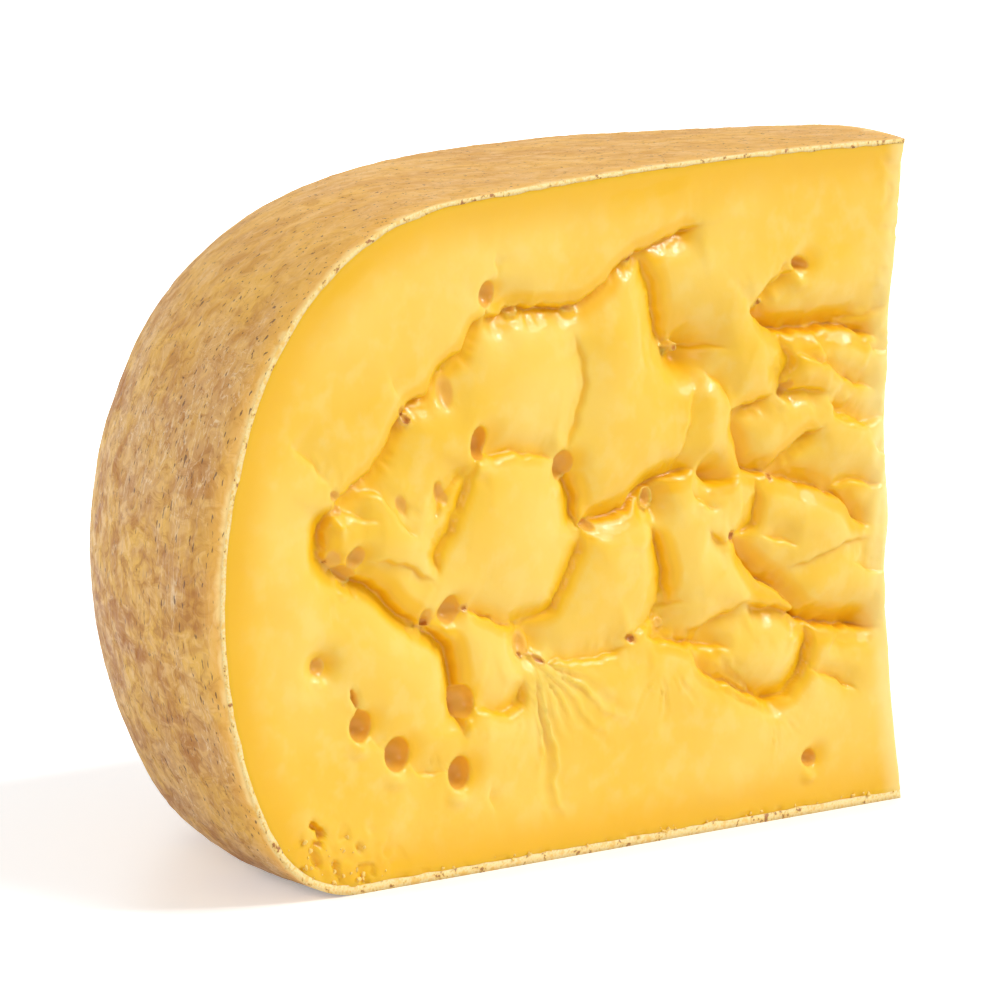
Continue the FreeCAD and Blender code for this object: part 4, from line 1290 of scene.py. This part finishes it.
def pushed(tree, geometry, direction, amount):
    """A geometry with its points moved along a direction by an amount."""
    offset = add(tree, "ShaderNodeVectorMath", {"operation": "SCALE"}, n0=direction,
                 Scale=amount)
    return add(tree, "GeometryNodeSetPosition", Geometry=geometry, Offset=offset)


def dressed(tree, geometry, material):
    """A geometry with its instances made real, in a material."""
    whole = add(tree, "GeometryNodeRealizeInstances", Geometry=geometry)
    return add(tree, "GeometryNodeSetMaterial", Geometry=whole, Material=material)


def bake(piece, tree, sizes, name):
    """Runs a tree on a piece with these sizes and gives its result as a plain mesh."""
    modifier = piece.modifiers.new(tree.name, "NODES")
    modifier.node_group = tree
    for item in tree.interface.items_tree:
        if item.in_out == "INPUT" and item.name in sizes:
            modifier[item.identifier] = sizes[item.name][1]
    bpy.context.view_layer.update()
    evaluated = piece.evaluated_get(bpy.context.evaluated_depsgraph_get())
    mesh = bpy.data.meshes.new_from_object(evaluated)
    mesh.name = name
    piece.modifiers.remove(modifier)
    return mesh


SKIN_SIZES = {"Swell height": ("Float", 0.55 * MM), "Wrinkle height": ("Float", 0.55 * MM),
              "Still beside the cut": ("Float", 3.0)}
skin_tree, given, result = new_tree("washed skin", SKIN_SIZES)
skin_place = add(skin_tree, "GeometryNodeInputPosition")
cut_gap, free, on_edge = (
    add(skin_tree, "GeometryNodeInputNamedAttribute", {"data_type": kind}, "Attribute", Name=name)
    for name, kind in (("cut_gap", "FLOAT"), ("free", "FLOAT"), ("cut edge", "BOOLEAN")))
swell = add(skin_tree, "ShaderNodeTexNoise", Vector=skin_place, Scale=1.0 / (13.0 * MM))
wrinkle = add(skin_tree, "ShaderNodeTexNoise", Scale=1.0, Detail=3.0, Roughness=0.6,
              Distortion=0.8, Vector=stretched(skin_tree, skin_place, 2.6, 7.0))
swelling, wrinkling = (
    add(skin_tree, "ShaderNodeMath", TIMES, n0=given[height],
        n1=add(skin_tree, "ShaderNodeMath", MINUS, n0=lumps, n1=0.5))
    for height, lumps in (("Swell height", swell), ("Wrinkle height", wrinkle)))
still = add(skin_tree, "ShaderNodeMapRange", SOFT, Value=cut_gap, From_Min=0.0,
            From_Max=given["Still beside the cut"])
amount = add(skin_tree, "ShaderNodeMath", TIMES,
             n0=add(skin_tree, "ShaderNodeMath", TIMES, n0=still, n1=free),
             n1=add(skin_tree, "ShaderNodeMath", PLUS, n0=swelling, n1=wrinkling))
moved = pushed(skin_tree, given["Geometry"], add(skin_tree, "GeometryNodeInputNormal"), amount)
edged = add(skin_tree, "GeometryNodeSetMaterial", Selection=on_edge, Material=EDGE_MATERIAL,
            Geometry=dressed(skin_tree, moved, SKIN_MATERIAL))
feed(skin_tree, result, Geometry=edged)
rind.data = bake(rind, skin_tree, SKIN_SIZES, "rind")
print("rind baked:", len(rind.data.vertices), "vertices,", len(rind.data.materials), "materials")

# %% [markdown]
# ## Crumbs, with Geometry Nodes
#
# Where the paste is dry, by the heel and along the foot of the cut, the knife leaves crumbs on
# the face. The paste carries an attribute that says how crumbly it is, and a second tree strews
# small broken lumps over it at that density, turned and sized at random from a fixed seed.

# %% The crumbs
CRUMB_SIZES = {"Crumbs per square mm": ("Float", 0.3), "Smallest radius": ("Float", 0.10 * MM),
               "Largest radius": ("Float", 0.42 * MM), "Seed": ("Int", 7)}
FULL_TURN = 6.28
LUMP_FACES = 80
crumb_tree, given, result = new_tree("crumbs", CRUMB_SIZES)
crumbly = add(crumb_tree, "GeometryNodeInputNamedAttribute", {"data_type": "FLOAT"},
              "Attribute", Name="crumbly")
density = add(crumb_tree, "ShaderNodeMath", TIMES,
              n0=add(crumb_tree, "ShaderNodeMath", TIMES, n0=given["Crumbs per square mm"],
                     n1=1.0 / MM ** 2),
              n1=add(crumb_tree, "ShaderNodeMapRange", SOFT, Value=crumbly, From_Min=0.3,
                     From_Max=0.7))
spread = add(crumb_tree, "GeometryNodeDistributePointsOnFaces", Mesh=given["Geometry"],
             Density=density, Seed=given["Seed"])
lump = add(crumb_tree, "GeometryNodeMeshIcoSphere", Radius=1.0, Subdivisions=2)
lump_place = add(crumb_tree, "GeometryNodeInputPosition")
dent = add(crumb_tree, "ShaderNodeMath", MINUS, n1=0.5, n0=add(
    crumb_tree, "ShaderNodeTexNoise", Vector=lump_place, Scale=1.0 / 0.8, Detail=3.0))
broken_lump = pushed(crumb_tree, lump, lump_place,
                     add(crumb_tree, "ShaderNodeMath", TIMES, n0=dent, n1=3.0))
radius = add(crumb_tree, "FunctionNodeRandomValue", {"data_type": "FLOAT"}, 1,
             n2=given["Smallest radius"], n3=given["Largest radius"], Seed=given["Seed"])
turned = add(crumb_tree, "FunctionNodeRandomValue", {"data_type": "FLOAT_VECTOR"}, 0,
             n1=(FULL_TURN, FULL_TURN, FULL_TURN), Seed=given["Seed"])
strewn = add(crumb_tree, "GeometryNodeInstanceOnPoints", Points=spread, Instance=broken_lump,
             Rotation=turned, Scale=radius)
crumb_material, crumb_shader_tree, crumb_shader = new_material("paste, dry crumbs")
feed(crumb_shader_tree, crumb_shader, Base_Color=linear("#F8D06C"), Roughness=0.6)
feed(crumb_tree, result, Geometry=dressed(crumb_tree, strewn, crumb_material))
crumb_mesh = bake(paste, crumb_tree, CRUMB_SIZES, "crumbs")
crumb_mesh.polygons.foreach_set("use_smooth", [True] * len(crumb_mesh.polygons))
crumbs = put("crumbs", crumb_mesh)
print("crumbs:", len(crumb_mesh.polygons) // LUMP_FACES, "lumps,", len(crumb_mesh.polygons),
      "triangles")

# %% [markdown]
# ## Table, light and camera
#
# The piece stands on a plain white table. The key is a broad sun from the right, because a sun
# lights a wide floor evenly. A narrower sun beside it makes the lips of the seams shine, one from
# the left opens the shadows of the front cut, and one from the far left lights the rind. A dim
# white sky fills the rest. To the camera, and in reflections, the sky is full white and the table
# glows, less at the foot of the piece, so that its shadow stays there; the weaker glow also makes
# the table darker round the foot, a painted shadow over the real one.

# %% The table and the sky
WHITE = (1.0, 1.0, 1.0, 1.0)
FLOOR_HALF = 30.0
GLOW_ALONG, GLOW_ACROSS = 105.0 * MM, 56.0 * MM
GLOW_FROM, GLOW_FULL = 0.98, 1.4
GLOW_LEAST, GLOW_MOST = 0.3, 0.9
FILL = 0.35


def seen_rays(tree):
    """One for camera, glossy and transmission rays, zero for the light that falls on things."""
    ray = add(tree, "ShaderNodeLightPath").node.outputs
    return add(tree, "ShaderNodeMath", LARGER, n0=ray["Is Camera Ray"],
               n1=add(tree, "ShaderNodeMath", LARGER, n0=ray["Is Glossy Ray"],
                      n1=ray["Is Transmission Ray"]))


def from_foot(tree):
    """How far out a place on the table is: one on a box about the foot of the piece."""
    pressed = add(tree, "ShaderNodeVectorMath", TIMES,
                  n0=add(tree, "ShaderNodeTexCoord", out="Object"),
                  n1=(1.0 / GLOW_ALONG, 1.0 / GLOW_ACROSS, 0.0))
    sides = add(tree, "ShaderNodeSeparateXYZ",
                Vector=add(tree, "ShaderNodeVectorMath", SIZE, n0=pressed)).node.outputs
    return add(tree, "ShaderNodeMath", LARGER, n0=sides["X"], n1=sides["Y"])


floor_mesh = bpy.data.meshes.new("floor")
floor_mesh.from_pydata([(x * FLOOR_HALF, y * FLOOR_HALF, 0.0)
                        for x, y in ((-1, -1), (1, -1), (1, 1), (-1, 1))], [], [(0, 1, 2, 3)])
floor = put("floor", floor_mesh)
floor_material, floor_tree, floor_shader = new_material("table, matt white")
# painted shadow: the table's glow is weaker round the foot of the piece, so the table is darker
# there even where light falls
glow = add(floor_tree, "ShaderNodeMapRange", SOFT, Value=from_foot(floor_tree),
           From_Min=GLOW_FROM, From_Max=GLOW_FULL, To_Min=GLOW_LEAST, To_Max=GLOW_MOST)
feed(floor_tree, floor_shader, Base_Color=(0.9, 0.9, 0.9, 1.0), Roughness=0.35,
     Emission_Color=WHITE, Emission_Strength=add(
         floor_tree, "ShaderNodeMath", TIMES, n0=seen_rays(floor_tree), n1=glow))
floor_mesh.materials.append(floor_material)

world = bpy.data.worlds.new("studio")
bpy.context.scene.world = world
world.use_nodes = True
sky = world.node_tree
sky.nodes.clear()
fill = add(sky, "ShaderNodeBackground", Color=WHITE, Strength=FILL)
seen = add(sky, "ShaderNodeBackground", Color=WHITE, Strength=1.0)
picked = add(sky, "ShaderNodeMixShader", n0=seen_rays(sky), n1=fill, n2=seen)
add(sky, "ShaderNodeOutputWorld", Surface=picked)
print("table %.0f m wide, sky at %.2f" % (2 * FLOOR_HALF, FILL))

# %% The suns
SUNS = [
    # name, strength, azimuth (0 is straight before the front cut, 90 to its right), height
    # above the table, and how broad the sun is, the last three in degrees
    ("key sun, broad", 1.7, 52.0, 42.0, 30.0),
    ("gloss sun, narrow", 0.5, 44.0, 36.0, 8.0),
    ("front sun, from the left", 0.5, -60.0, 27.0, 24.0),
    ("rind sun, from the far left", 1.2, -106.0, 30.0, 22.0),
]
MIDDLE = Vector((0.0, 0.0, 0.05))


def aim(thing, place, target):
    """Puts a lamp or camera at a place, looking at a target."""
    thing.location = place
    thing.rotation_mode = "QUATERNION"
    thing.rotation_quaternion = (Vector(target) - Vector(place)).to_track_quat("-Z", "Y")


for sun_name, strength, azimuth, elevation, broad in SUNS:
    light = bpy.data.lights.new(sun_name, "SUN")
    light.energy, light.angle = strength, math.radians(broad)
    turn, lift = math.radians(azimuth), math.radians(elevation)
    aim(put(sun_name, light), MIDDLE + Vector((
        math.sin(turn) * math.cos(lift), -math.cos(turn) * math.cos(lift),
        math.sin(lift))), MIDDLE)
print(len(SUNS), "suns, the key at", SUNS[0][1])

# %% The camera
AZIMUTH, ELEVATION, DISTANCE = math.radians(44.1), math.radians(8.0), 1280.0
TARGET = np.array([NOSE[0] - 92.44, NOSE[1], 58.85])
camera_data = bpy.data.cameras.new("camera")
camera_data.sensor_width, camera_data.lens = 36.0, 293.8
camera_data.clip_start, camera_data.clip_end = 0.05, 100.0
camera = put("camera", camera_data)
bpy.context.scene.camera = camera
back = np.array([-math.sin(AZIMUTH) * math.cos(ELEVATION),
                 -math.cos(AZIMUTH) * math.cos(ELEVATION), math.sin(ELEVATION)])
aim(camera, (TARGET + DISTANCE * back) * MM, TARGET * MM)
print("camera %.0f mm from the front cut" % DISTANCE)

# %% Attaching the pieces
for piece, slot in ((paste, "paste"), (rind, "rind"), (crumbs, "paste")):
    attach(piece, "root")
    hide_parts(NODE)
bpy.context.scene.view_settings.view_transform = "Standard"
